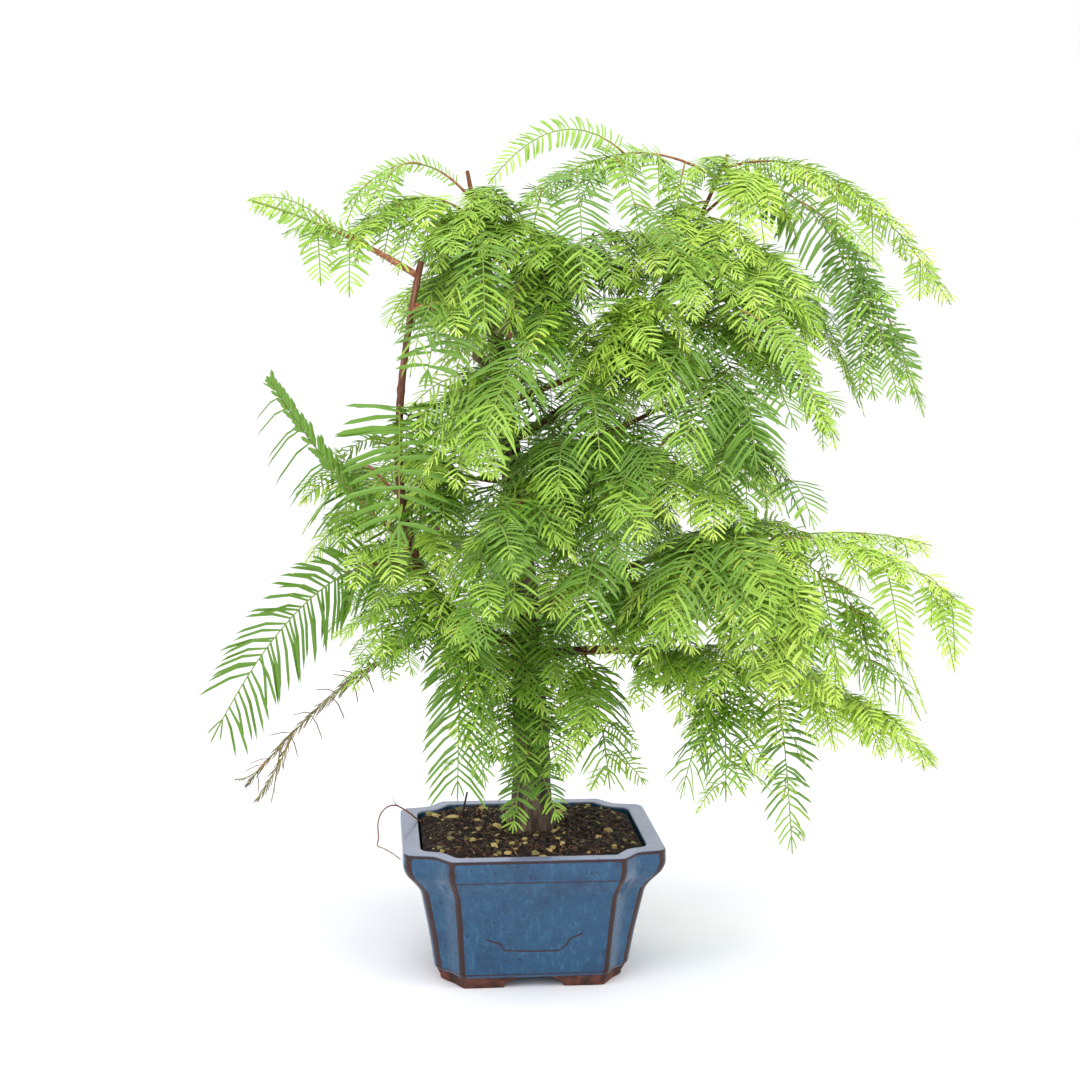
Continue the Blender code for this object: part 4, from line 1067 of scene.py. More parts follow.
    def build_bough(self, ground: Ground, name: str, limb: Limb, number: int) -> None:
        """Builds one bough: its taper, a collar at the trunk, swollen buds along it and fine relief."""
        rows, sides = 200, 28
        path = self.bough_path(limb, rows)
        t = np.linspace(0.0, 1.0, rows)
        radii = np.linspace(*limb.radii, rows) * (1.0 - limb.thinned * np.clip((t - 0.55) / 0.35, 0.0, 1.0))
        length = length_of(path)
        reach = t * length
        u = np.broadcast_to(np.linspace(0.0, 1.0, sides, endpoint=False), (rows, sides))
        v = np.broadcast_to(t[:, None], (rows, sides))
        cells = max(4, int(length / 9))
        buds = np.maximum(0.0, np.cos(reach / self.bud_gap * 2 * np.pi)) ** 24
        wave = 0.09 * radii[:, None] * value_noise(u, v, (9, cells * 3), self.seed + 9 + number)
        wave = wave + 0.16 * (radii * buds)[:, None] - 0.05 * radii[:, None]
        points, faces, grain = tubes(path[None], radii[None], sides, wave[None])
        strip = srgb(106, 62, 48) if limb.radii[0] > self.old_wood else srgb(128, 70, 50)
        bark = BarkFinish(f"bough_{name}_bark", srgb(52, 30, 26), strip, srgb(150, 104, 82), 1.7)
        young = np.repeat(np.clip((t - 0.7) / 0.3, 0.0, 1.0) * limb.young, sides)
        ground.piece(bark.name, points, faces, bark.build(), limb.nodes or [f"bough_{name}"],
                     attributes={"grain": grain, "young": young})


# The crown


@dataclass(frozen=True)
class Comb:
    """How needles stand on a spray: their angles to it at its foot and at its tip in degrees, the gap between
    pairs as a share of their length, how much shorter the last ones are, their droop and width, the length of
    the two sides, and whether the last needles are a step lighter."""

    angles: tuple = (76.0, 50.0)
    pitch: float = 0.152
    taper: float = 0.52
    droop: float = 0.12
    width: float = 1.0
    sides: tuple = (1.0, 1.0)
    fresh_tip: bool = True


FERN = Comb()
LEVEL = Comb((88, 72), 0.17, 0.3, 0.05, 1.35, fresh_tip=False)
DRAPED = Comb((74, 52), 0.16, 0.45, 0.42, 0.85)
FEATHERY = Comb((64, 48), 0.108, 0.16, 0.22, 0.85, fresh_tip=False)
ONE_SIDED = Comb((80, 60), 0.15, 0.42, 0.16, 0.95, (0.38, 1))
UPRIGHT = Comb((62, 52), 0.3, 0.3, 0.02, 1)
SCALES = Comb((30, 24), 0.26, 0.3, -0.05, 2.1, (0.6, 1), False)
HANGERS = Comb((66, 56), 0.3, 0.4, 0.95, 0.8, (1, 0.05), False)
WISPS = Comb((26, 16), 0.24, 0.4, 0.1, 0.75)
SPARSE = Comb((80, 50), 0.9, 0.3, 0.25, 0.5)


@dataclass(frozen=True)
class Shoot:
    """A leafy shoot: what carries it and how far along, its tip, the rise of its middle over the chord, its
    share that is bare, its side sprays and their length, its needles' length, the turn of its plane, its comb
    and how thick its stem is against its rank's."""

    on: str | int
    at: float
    tip: tuple
    arch: float = 8.0
    bare: float = 0.1
    sides: int = 0
    length: float = 46.0
    needle: float = 20.0
    roll: float = 0.0
    comb: Comb = FERN
    stem: float = 0.85


@dataclass(frozen=True)
class Mass:
    """A mass of foliage: its tint, the spacing of its fine side sprays, their length, its shoots, and how
    many spacings lie between its hanging sprays, with 0 for none."""

    tint: Tint
    spacing: float
    fringe: float
    shoots: tuple
    hanging: float = 0.0


MASSES = {
    "left_near": Mass(Tint.DEEP, 0, 0, (
        Shoot("left", 0.78, (-78, -72, 254), 24, bare=0.2, needle=35, comb=LEVEL),
    )),
    "left_long": Mass(Tint.MID, 0, 0, (
        Shoot("left", 0.42, (-179, -64, 153), 34, bare=0.16, needle=32, roll=-78, comb=FEATHERY),
    )),
    "top_left_arm": Mass(Tint.MID, 0, 0, (
        Shoot("left", 0.98, (-155, -42, 441), 4, bare=0.4, needle=14, roll=50, stem=1.7),
        Shoot(0, 0.5, (-158, -30, 442), bare=0.05, needle=15, roll=40, comb=DRAPED),
        Shoot(0, 0.62, (-119, -52, 397), 5, bare=0.05, needle=13),
        Shoot(0, 0.42, (-104, -50, 391), 7, bare=0.05, needle=15),
        Shoot(0, 0.3, (-140, -36, 424), 9, bare=0.05, needle=13, comb=DRAPED),
        Shoot(0, 0.5, (-130, -42, 413), 6, bare=0.05, needle=13),
        Shoot("left", 0.93, (-46, -46, 386), 3, bare=0.3, needle=12, stem=1.3),
        Shoot(6, 0.65, (-72, -56, 349), 14, needle=22, comb=DRAPED),
    )),
    "left_crest": Mass(Tint.MID, 14, 32, (
        Shoot("left", 0.94, (-33, -42, 372), 3, bare=0.45, sides=2, length=36, needle=16),
        Shoot(0, 0.48, (-64, -62, 343), 10, bare=0.08, needle=26, comb=LEVEL),
        Shoot(0, 0.9, (-49, -52, 341), needle=18),
    )),
    "upper_left_arch": Mass(Tint.MID, 0, 0, (
        Shoot("trunk", 446, (-107, -8, 439), 23, bare=0.12, needle=8, roll=60, comb=UPRIGHT),
        Shoot(0, 0.4, (-96, -30, 436), 10, bare=0.3, needle=10, roll=20),
        Shoot(0, 0.8, (-106, -20, 430), 4, needle=12),
        Shoot(0, 0.62, (-92, -26, 424), 4, needle=12),
    )),
    "second_arch": Mass(Tint.MID, 9, 38, (
        Shoot("trunk", 434, (-104, -24, 418), 20, bare=0.2, sides=4, length=38, needle=15, roll=20),
        Shoot(0, 0.35, (-78, -34, 403), 9, needle=16),
        Shoot(0, 0.6, (-86, -30, 410), needle=13),
        Shoot(0, 0.8, (-101, -36, 408), 6, needle=13),
    )),
    "crest_arch": Mass(Tint.MID, 15, 32, (
        Shoot("right_high", 0.95, (-5, -6, 446), 20, bare=0.3, sides=4, length=42, needle=15, roll=35),
        Shoot(0, 0.5, (-27, -4, 455), 21, bare=0.04, needle=13, roll=55),
        Shoot(0, 0.76, (20, -64, 392), 18, bare=0.05, needle=21),
        Shoot(0, 0.33, (89, 0, 422), 9, needle=16),
        Shoot(0, 0.56, (58, -24, 420), 10, needle=17),
        Shoot(0, 0.92, (-8, -38, 404), needle=18),
        Shoot(0, 0.18, (76, -6, 412), 6, needle=16),
        Shoot("right_high", 0.99, (86, -12, 458), 6, bare=0.05, needle=13),
        Shoot("right_high", 0.97, (110, 0, 468), 4, bare=0.05, needle=10),
        Shoot(4, 0.7, (80, -50, 397), 12),
    )),
    "leader": Mass(Tint.MID, 9, 44, (
        Shoot("trunk", 428, (-30, -44, 373), 20, bare=0.15, sides=5),
        Shoot(0, 0.3, (4, -24, 436), 12, needle=15),
        Shoot(0, 0.1, (-45, -22, 433), 6, sides=2, length=34, needle=14),
        Shoot("trunk", 432, (-23, -34, 436), 12, sides=2, length=32, needle=15),
        Shoot("trunk", 420, (3, -30, 420), 14, bare=0.15, sides=3, length=38, needle=17),
        Shoot("trunk", 440, (-60, -30, 417), bare=0.15, sides=2, length=34, needle=15),
        Shoot("trunk", 446, (-20, -16, 444), sides=2, length=28, needle=14),
        Shoot(0, 0.05, (-33, -72, 370), 24, bare=0.05, needle=23),
    ), 2),
    "right_crest": Mass(Tint.FRESH, 9, 36, (
        Shoot("right_high", 0.94, (139, -12, 438), 16, sides=3, length=40, needle=19),
        Shoot(0, 0.6, (128, -6, 440), 6, needle=15),
        Shoot(0, 0.5, (125, -30, 423), 6, needle=17),
        Shoot("right_high", 0.9, (55, -30, 408), 10, sides=2, length=36, needle=16),
        Shoot(0, 0.4, (113, -20, 423), needle=17),
        Shoot("right_high", 0.86, (122, -30, 410), 10, needle=17),
        Shoot("right_high", 0.84, (100, -34, 404), 10, needle=17),
    ), 3),
    "far_right": Mass(Tint.FRESH, 9, 32, (
        Shoot("right_high", 0.97, (250, 18, 391), 32, bare=0.06, needle=14, roll=30, comb=DRAPED),
        Shoot(0, 0.36, (156, 12, 437), 4, bare=0.05, needle=13),
        Shoot(0, 0.5, (178, 16, 426), 4, bare=0.05, needle=13),
        Shoot(0, 0.64, (201, 16, 414), 4, bare=0.05, needle=13),
        Shoot(0, 0.86, (228, 10, 393), 3, bare=0.05, needle=12),
    )),
    "right_fern": Mass(Tint.DEEP, 24, 30, (
        Shoot("right_high", 0.86, (208, -10, 352), 54, bare=0.34, needle=27, roll=-70, comb=ONE_SIDED),
        Shoot(0, 0.5, (232, 4, 325), 24, bare=0.2, sides=2, length=30, needle=14, roll=-40),
        Shoot(1, 0.5, (190, -4, 336), 5, needle=13),
        Shoot(1, 0.25, (198, -8, 336), 6, needle=16, roll=-60),
        Shoot(1, 0.45, (213, -6, 334), 6, needle=16, roll=-50),
        Shoot(1, 0.7, (222, -4, 338), 4, needle=14, roll=-50),
    )),
    "right_upper": Mass(Tint.MID, 9, 46, (
        Shoot("right_high", 0.77, (147, -38, 379), 14, bare=0.15, sides=3),
        Shoot(0, 0.2, (195, 12, 330), 36, bare=0.2, sides=1, length=26, needle=16, roll=-30),
        Shoot(0, 0.3, (64, -48, 384), 16, bare=0.12, sides=2, length=44, needle=24),
        Shoot(0, 0.45, (111, -44, 373), needle=18),
        Shoot(0, 0.6, (148, -24, 379), needle=13),
        Shoot(0, 0.7, (138, -36, 362), needle=18),
        Shoot(1, 0.5, (150, -40, 356), 12, needle=19),
        Shoot(1, 0.3, (147, -44, 350), 14, needle=18),
        Shoot("right_high", 0.7, (156, -30, 347), 20, bare=0.3, needle=17),
        Shoot(3, 0.8, (157, -66, 318), 14, needle=17, roll=-30),
    ), 2),
    "right_dark": Mass(Tint.MID, 10, 46, (
        Shoot("right_high", 0.64, (171, -32, 314), 22, 0.15, sides=3, length=44, needle=24, roll=-25),
        Shoot(0, 0.4, (140, -56, 322), 10, needle=22),
        Shoot(0, 0.28, (119, -36, 314), needle=19),
        Shoot(2, 0.2, (56, -84, 336), 14, bare=0.05, needle=25, roll=20, comb=DRAPED),
        Shoot(2, 0.6, (68, -96, 311), 14, bare=0.05, needle=25, roll=15, comb=DRAPED),
        Shoot(2, 0.55, (112, -84, 302), 16, bare=0.05, needle=25, roll=-10, comb=FEATHERY),
    ), 2),
    "centre_fan": Mass(Tint.MID, 8, 50, (
        Shoot("right_high", 0.5, (58, -50, 338), 22, bare=0.25, sides=5, needle=24),
        Shoot(0, 0.3, (27, -48, 317)),
        Shoot(0, 0.4, (82, -50, 321), 10),
        Shoot(0, 0.2, (88, -50, 351), 12, sides=2, length=38),
        Shoot(0, 0.3, (29, -60, 385), 12),
    ), 1.5),
    "centre_rachis": Mass(Tint.DEEP, 12, 40, (
        Shoot("right_thin", 1.0, (123, -52, 287), 22, 0.2, sides=2, length=44, needle=28, comb=LEVEL),
        Shoot(0, 0.18, (58, -66, 328), 20, bare=0.08, needle=22),
        Shoot(0, 0.45, (76, -74, 294), 14, bare=0.08, needle=21),
        Shoot(0, 0.75, (97, -68, 276), 6, needle=16),
        Shoot(0, 0.8, (149, -48, 266), 9, needle=15),
        Shoot(0, 0.55, (85, -78, 268), needle=18),
        Shoot(0, 0.62, (92, -76, 290), 6, needle=18),
        Shoot(0, 0.7, (139, -50, 272), needle=18),
        Shoot(0, 0.6, (112, -66, 270)),
        Shoot(4, 0.6, (148, -70, 268), needle=22),
    ), 2),
    "umbrella": Mass(Tint.DEEP, 11, 40, (
        Shoot("front", 1.0, (-48, -112, 212), 14, bare=0.0, sides=4, needle=26, comb=DRAPED),
        Shoot(0, 0.06, (-20, -108, 226), 12, needle=22),
        Shoot(0, 0.04, (-30, -100, 268), sides=2, length=36, needle=22),
        Shoot(0, 0.05, (6, -96, 262), needle=22),
    ), 2),
    "right_chain": Mass(Tint.FRESH, 13, 28, (
        Shoot("right_mid", 1.0, (215, -68, 259), 8, 0.05, sides=3, length=30, needle=15, comb=DRAPED),
        Shoot(0, 0.62, (197, -84, 242), 5, needle=14),
        Shoot(0, 0.1, (230, -92, 226), 16, sides=3, length=34, needle=19, comb=DRAPED),
        Shoot(2, 0.58, (190, -102, 200), 7, needle=15),
        Shoot(2, 0.8, (219, -102, 195), 5, needle=15),
        Shoot(2, 0.45, (172, -80, 236), 5, needle=18, comb=DRAPED),
        Shoot(4, 0.1, (212, -82, 216), 4, needle=13),
        Shoot(2, 0.9, (220, -99, 200), 6, needle=15),
    )),
    "right_fan": Mass(Tint.MID, 9, 48, (
        Shoot("right_mid", 0.72, (126, -104, 222), 18, bare=0.15, sides=3, needle=24),
        Shoot(0, 0.3, (72, -100, 206), 12, needle=24),
        Shoot(0, 0.45, (114, -94, 184), needle=21),
        Shoot(0, 0.4, (98, -108, 215)),
        Shoot(0, 0.15, (61, -104, 213), 12, sides=2, length=40, needle=21),
        Shoot(0, 0.2, (107, -70, 262), 6, sides=2, length=36, needle=21),
        Shoot(0, 0.4, (128, -50, 268), needle=19),
        Shoot("right_mid", 0.8, (144, -62, 265), 12),
        Shoot("right_mid", 0.6, (122, -68, 262), 12),
        Shoot(8, 0.4, (118, -112, 232), 14, bare=0.05, needle=23, roll=-20),
        Shoot(8, 0.65, (57, -112, 217), 14, bare=0.05, needle=27, roll=15, comb=DRAPED),
        Shoot(3, 0.35, (110, -112, 212), 10, needle=21),
    ), 1.5),
    "right_skirt": Mass(Tint.FRESH, 13, 42, (
        Shoot("right_mid", 0.93, (160, -96, 186), 26, bare=0.15, sides=3, length=42, needle=22),
        Shoot(0, 0.3, (213, -68, 160), 24, needle=18, roll=-25),
        Shoot(1, 0.35, (160, -88, 183), 10, needle=24),
        Shoot(0, 0.4, (137, -106, 197), needle=19),
        Shoot(1, 0.55, (184, -58, 184), 6, needle=18),
        Shoot(0, 0.25, (108, -104, 197), 12),
        Shoot(0, 0.45, (139, -86, 197), 6, needle=18),
        Shoot(0, 0.2, (93, -84, 206), 10, sides=2, length=38, needle=22),
        Shoot(0, 0.5, (126, -96, 200), 6),
        Shoot(0, 0.55, (139, -86, 182), needle=22),
        Shoot(1, 0.6, (186, -70, 172), 6),
        Shoot(0, 0.35, (111, -104, 212)),
        Shoot(0, 0.6, (137, -92, 176), sides=2, length=34, needle=23),
        Shoot(0, 0.3, (123, -88, 186), 10, sides=2, length=34, needle=22),
        Shoot(1, 0.55, (177, -70, 178), needle=21),
        Shoot(1, 0.6, (216, -68, 164), 12, needle=17, roll=-20),
        Shoot(1, 0.4, (203, -74, 192), needle=18),
        Shoot(0, 0.7, (159, -100, 187), 10, bare=0.05, needle=26, comb=DRAPED),
        Shoot(4, 0.85, (208, -80, 165), comb=DRAPED),
        Shoot(1, 0.55, (186, -82, 170), 6, roll=-20),
    ), 2),
    "low_arm": Mass(Tint.FRESH, 9, 36, (
        Shoot("right_low", 1.0, (224, -66, 132), 14, bare=0.04, sides=4, length=40, needle=17, roll=30),
        Shoot(0, 0.4, (189, -76, 140), 6, needle=16),
        Shoot(0, 0.15, (160, -84, 147), 6, needle=18),
        Shoot("right_low", 0.75, (130, -84, 190), 12),
        Shoot("right_low", 0.85, (160, -80, 178), 14),
        Shoot("right_low", 0.95, (186, -76, 160), 12, needle=18),
        Shoot("right_low", 0.6, (100, -88, 196), 10, needle=21),
        Shoot(0, 0.55, (200, -80, 142), 6, needle=16),
    )),
    "low_hang": Mass(Tint.MID, 20, 24, (
        Shoot("right_low", 0.93, (141, -72, 86), 12, bare=0.12, needle=25),
    )),
    "low_pair": Mass(Tint.MID, 12, 42, (
        Shoot("right_low", 0.72, (102, -74, 117), 14, 0.15, sides=2, length=40, needle=24, comb=DRAPED),
        Shoot(0, 0.25, (78, -66, 117), 10, needle=25, comb=DRAPED),
        Shoot(0, 0.5, (119, -80, 154), 6, needle=18),
        Shoot(0, 0.1, (84, -84, 177), 10, needle=19),
        Shoot(0, 0.45, (90, -78, 134), needle=21),
        Shoot("right_low", 0.6, (72, -84, 186), 12),
        Shoot(5, 0.5, (100, -100, 184)),
    ), 2),
    "low_inner": Mass(Tint.MID, 9, 48, (
        Shoot("right_mid", 0.5, (61, -70, 178), 16, bare=0.15, sides=4, needle=24),
        Shoot(0, 0.3, (92, -76, 162), 14),
        Shoot(0, 0.1, (25, -66, 204), 6),
        Shoot(0, 0.4, (50, -86, 211), 6),
    ), 2),
    "trunk_right": Mass(Tint.MID, 12, 36, (
        Shoot("right_low", 0.2, (40, -56, 120), 12, 0.15, sides=2, length=40, needle=25, comb=DRAPED),
        Shoot(0, 0.3, (20, -62, 142), 12, needle=19),
        Shoot(0, 0.15, (14, -50, 124), needle=16),
        Shoot(0, 0.2, (33, -52, 151), needle=18),
        Shoot(0, 0.05, (13, -40, 168), needle=18),
        Shoot(3, 0.5, (25, -70, 159)),
    ), 2),
    "trunk_foot": Mass(Tint.DEEP, 16, 20, (
        Shoot("trunk", 138, (-14, -50, 95), bare=0.2, needle=16),
        Shoot(0, 0.3, (12, -48, 100), 6, needle=15),
        Shoot("trunk", 176, (4, -44, 142), 10, sides=2, length=32, needle=19),
        Shoot("trunk", 192, (-10, -48, 166), 12, sides=2, length=34),
        Shoot("trunk", 160, (13, -46, 124), 10, needle=19),
        Shoot("trunk", 182, (-28, -50, 132), 12, sides=1, length=32, needle=21),
        Shoot("trunk", 170, (-18, -48, 130), 12),
        Shoot("trunk", 158, (-7, -46, 121), 12, needle=18),
        Shoot("trunk", 204, (12, -52, 178), 10, needle=21),
    )),
    "trunk_left": Mass(Tint.MID, 18, 26, (
        Shoot("front_low", 1.0, (-46, -66, 117), 20, sides=1, length=30, needle=26, comb=FEATHERY),
        Shoot(0, 0.3, (-19, -50, 130), 12, needle=18),
        Shoot(0, 0.15, (-14, -46, 146)),
        Shoot(0, 0.2, (-34, -60, 173)),
        Shoot(0, 0.3, (-24, -56, 138), 10, needle=19),
        Shoot(0, 0.5, (-30, -62, 124), needle=22),
    ), 2.5),
    "withered": Mass(Tint.WITHERED, 0, 0, (
        Shoot("left", 0.2, (-165, -10, 112), 16, bare=0.3, needle=9, roll=36, comb=WISPS),
        Shoot("left", 0.2, (-165, -10, 112), 16, bare=0.35, needle=17, roll=-60, comb=SPARSE),
        Shoot(0, 0.78, (-158, -16, 106), -3, needle=8, roll=30, comb=WISPS),
        Shoot(0, 0.84, (-150, -12, 104), -2, needle=8, roll=-20, comb=WISPS),
        Shoot(0, 0.9, (-170, -14, 118), -3, needle=7, comb=WISPS),
    )),
    "left_low": Mass(Tint.MID, 11, 36, (
        Shoot("left", 0.16, (-89, -60, 192), 22, bare=0.2, sides=2, length=40),
        Shoot(0, 0.4, (-114, -66, 209), 7, needle=17),
        Shoot(0, 0.1, (-25, -84, 233), 14, sides=2, length=40),
        Shoot(0, 0.3, (-67, -70, 239), 10, needle=18),
        Shoot(0, 0.2, (-80, -66, 228), needle=18),
        Shoot("left", 0.4, (-110, -40, 232), 10, needle=17),
        Shoot("left", 0.3, (-94, -46, 200), 14, sides=2, length=32, needle=18),
        Shoot("left", 0.46, (-106, -50, 248), needle=18),
        Shoot("left", 0.5, (-117, -20, 270), bare=0.2, needle=15),
        Shoot("left", 0.2, (-85, -24, 182), 12, bare=0.15, needle=16),
        Shoot("left", 0.24, (-110, -14, 168), 12, bare=0.3, needle=15),
    )),
    "left_upturned": Mass(Tint.DEEP, 0, 0, (
        Shoot("left", 0.48, (-150, -8, 347), -9, bare=0.25, needle=13, roll=75, comb=SCALES),
        Shoot(0, 0.05, (-114, -50, 272), 10, bare=0.15, needle=24, roll=-40),
        Shoot(0, 0.3, (-112, -6, 306), 4, needle=14),
        Shoot("left", 0.48, (-150, -8, 347), -9, bare=0.3, needle=25, roll=75, comb=HANGERS),
    )),
    "left_inner": Mass(Tint.MID, 9, 48, (
        Shoot("left_thin", 1.0, (-64, -46, 250), 12, sides=4, needle=22),
        Shoot(0, 0.4, (-53, -60, 265)),
        Shoot("left_thin", 0.9, (-69, -40, 303), sides=2, length=34, needle=19),
        Shoot("left", 0.72, (-60, -40, 333)),
        Shoot("left", 0.66, (-88, -16, 312), needle=17),
    ), 1.5),
    "centre_left": Mass(Tint.MID, 8, 52, (
        Shoot("trunk", 352, (-46, -84, 304), 18, bare=0.25, sides=6, length=50, needle=24),
        Shoot(0, 0.3, (-36, -42, 312), 6, needle=18),
    ), 1.5),
    "centre_top": Mass(Tint.FRESH, 8, 50, (
        Shoot("inner_right", 1.0, (40, -62, 352), 24, bare=0.2, sides=6, length=48, needle=23),
        Shoot(0, 0.2, (57, -50, 380), 12, sides=2, length=40, needle=19),
    ), 1.5),
    "centre_high": Mass(Tint.MID, 8, 50, (
        Shoot("trunk", 386, (58, -8, 396), 30, bare=0.25, sides=7, length=48, needle=23),
        Shoot(0, 0.35, (3, -44, 357), 10),
        Shoot(0, 0.85, (72, -32, 386), 4, needle=18),
        Shoot(0, 0.55, (85, -14, 413), 12, sides=2, length=36, needle=18),
        Shoot(0, 0.2, (30, -52, 330), 14, sides=3),
        Shoot(4, 0.5, (-38, -78, 306), 12, needle=18),
        Shoot(0, 0.3, (10, -40, 418), 10, sides=2, length=36, needle=18),
        Shoot(1, 0.85, (-39, -100, 309), 16, bare=0.05, needle=30, roll=15, comb=DRAPED),
        Shoot(4, 0.9, (27, -90, 303), 10, bare=0.05, needle=24, comb=DRAPED),
    ), 1.5),
    "upper_left": Mass(Tint.MID, 9, 46, (
        Shoot("trunk", 408, (-64, 24, 378), 18, bare=0.2, sides=5, length=44),
    ), 2),
    "right_drop": Mass(Tint.DEEP, 8, 52, (
        Shoot("right_thin", 0.62, (24, -92, 234), 26, bare=0.25, sides=6, length=48, needle=24),
        Shoot(0, 0.85, (14, -108, 217), 10, needle=25, comb=DRAPED),
    ), 1.5),
    "centre_front": Mass(Tint.MID, 8, 52, (
        Shoot("right_thin", 0.3, (-14, -84, 252), 24, bare=0.25, sides=6, length=48, needle=24),
        Shoot(0, 0.04, (112, -75, 274), 14, sides=4, length=44, needle=23),
        Shoot(0, 0.5, (15, -72, 231), 10, sides=2, length=40),
        Shoot(1, 0.4, (36, -92, 277), 10, needle=23),
        Shoot(0, 0.15, (3, -104, 290), 12, bare=0.05, needle=22, comb=DRAPED),
    ), 1.5),
    "back_left": Mass(Tint.MID, 10, 50, (
        Shoot("back_left", 1.0, (-112, 128, 222), 22, sides=6, needle=25),
    ), 2),
    "back_left_low": Mass(Tint.DEEP, 10, 50, (
        Shoot("back_left", 0.6, (-96, 118, 176), 24, bare=0.2, sides=6, length=54, needle=25),
    ), 2),
    "back_right": Mass(Tint.MID, 10, 50, (
        Shoot("back_right", 1.0, (172, 118, 262), 20, sides=6, length=56, needle=25),
    ), 2),
    "back_right_low": Mass(Tint.DEEP, 10, 50, (
        Shoot("back_right", 0.6, (116, 122, 186), 26, bare=0.2, sides=6, length=54, needle=25),
    ), 2),
    "back_high": Mass(Tint.MID, 10, 50, (
        Shoot("back_high", 1.0, (20, 134, 356), 16, sides=6, length=56, needle=25),
    ), 2),
    "back_crest": Mass(Tint.MID, 10, 48, (
        Shoot("back_high", 0.7, (-72, 78, 388), 20, bare=0.2, sides=6, length=52, needle=25),
    ), 2),
    "back_low": Mass(Tint.DEEP, 10, 50, (
        Shoot("back_low", 1.0, (24, 158, 138), 14, sides=6, length=54, needle=25),
    ), 2),
}


@dataclass
class Spray:
    """One spray to be clothed in needles: its axis, its share that is bare, its needles, its plane's turn,
    its tint, its rank among the stems, its comb, whether its last needles are a step lighter and its stem's
    thickness against its rank's."""

    path: np.ndarray
    bare: float
    needle: float
    roll: float
    tint: Tint
    rank: int
    comb: Comb = FERN
    lit: bool = True
    stem: float = 1.0


@dataclass(frozen=True)
class Habit:
    """How side sprays leave their shoot: their fork in plan and their fall below the level, in degrees, each
    with its spread, and their length as a share of the mass's fringe."""

    fork: float
    fork_spread: float
    fall: float
    fall_spread: float
    length: float = 1.0


SIDE = Habit(58, 12, 38, 16)
FINE = Habit(54, 14, 44, 18)
HANGING = Habit(34, 34, 66, 12, 0.95)
ON_BOUGH = Habit(66, 26, 22, 40)


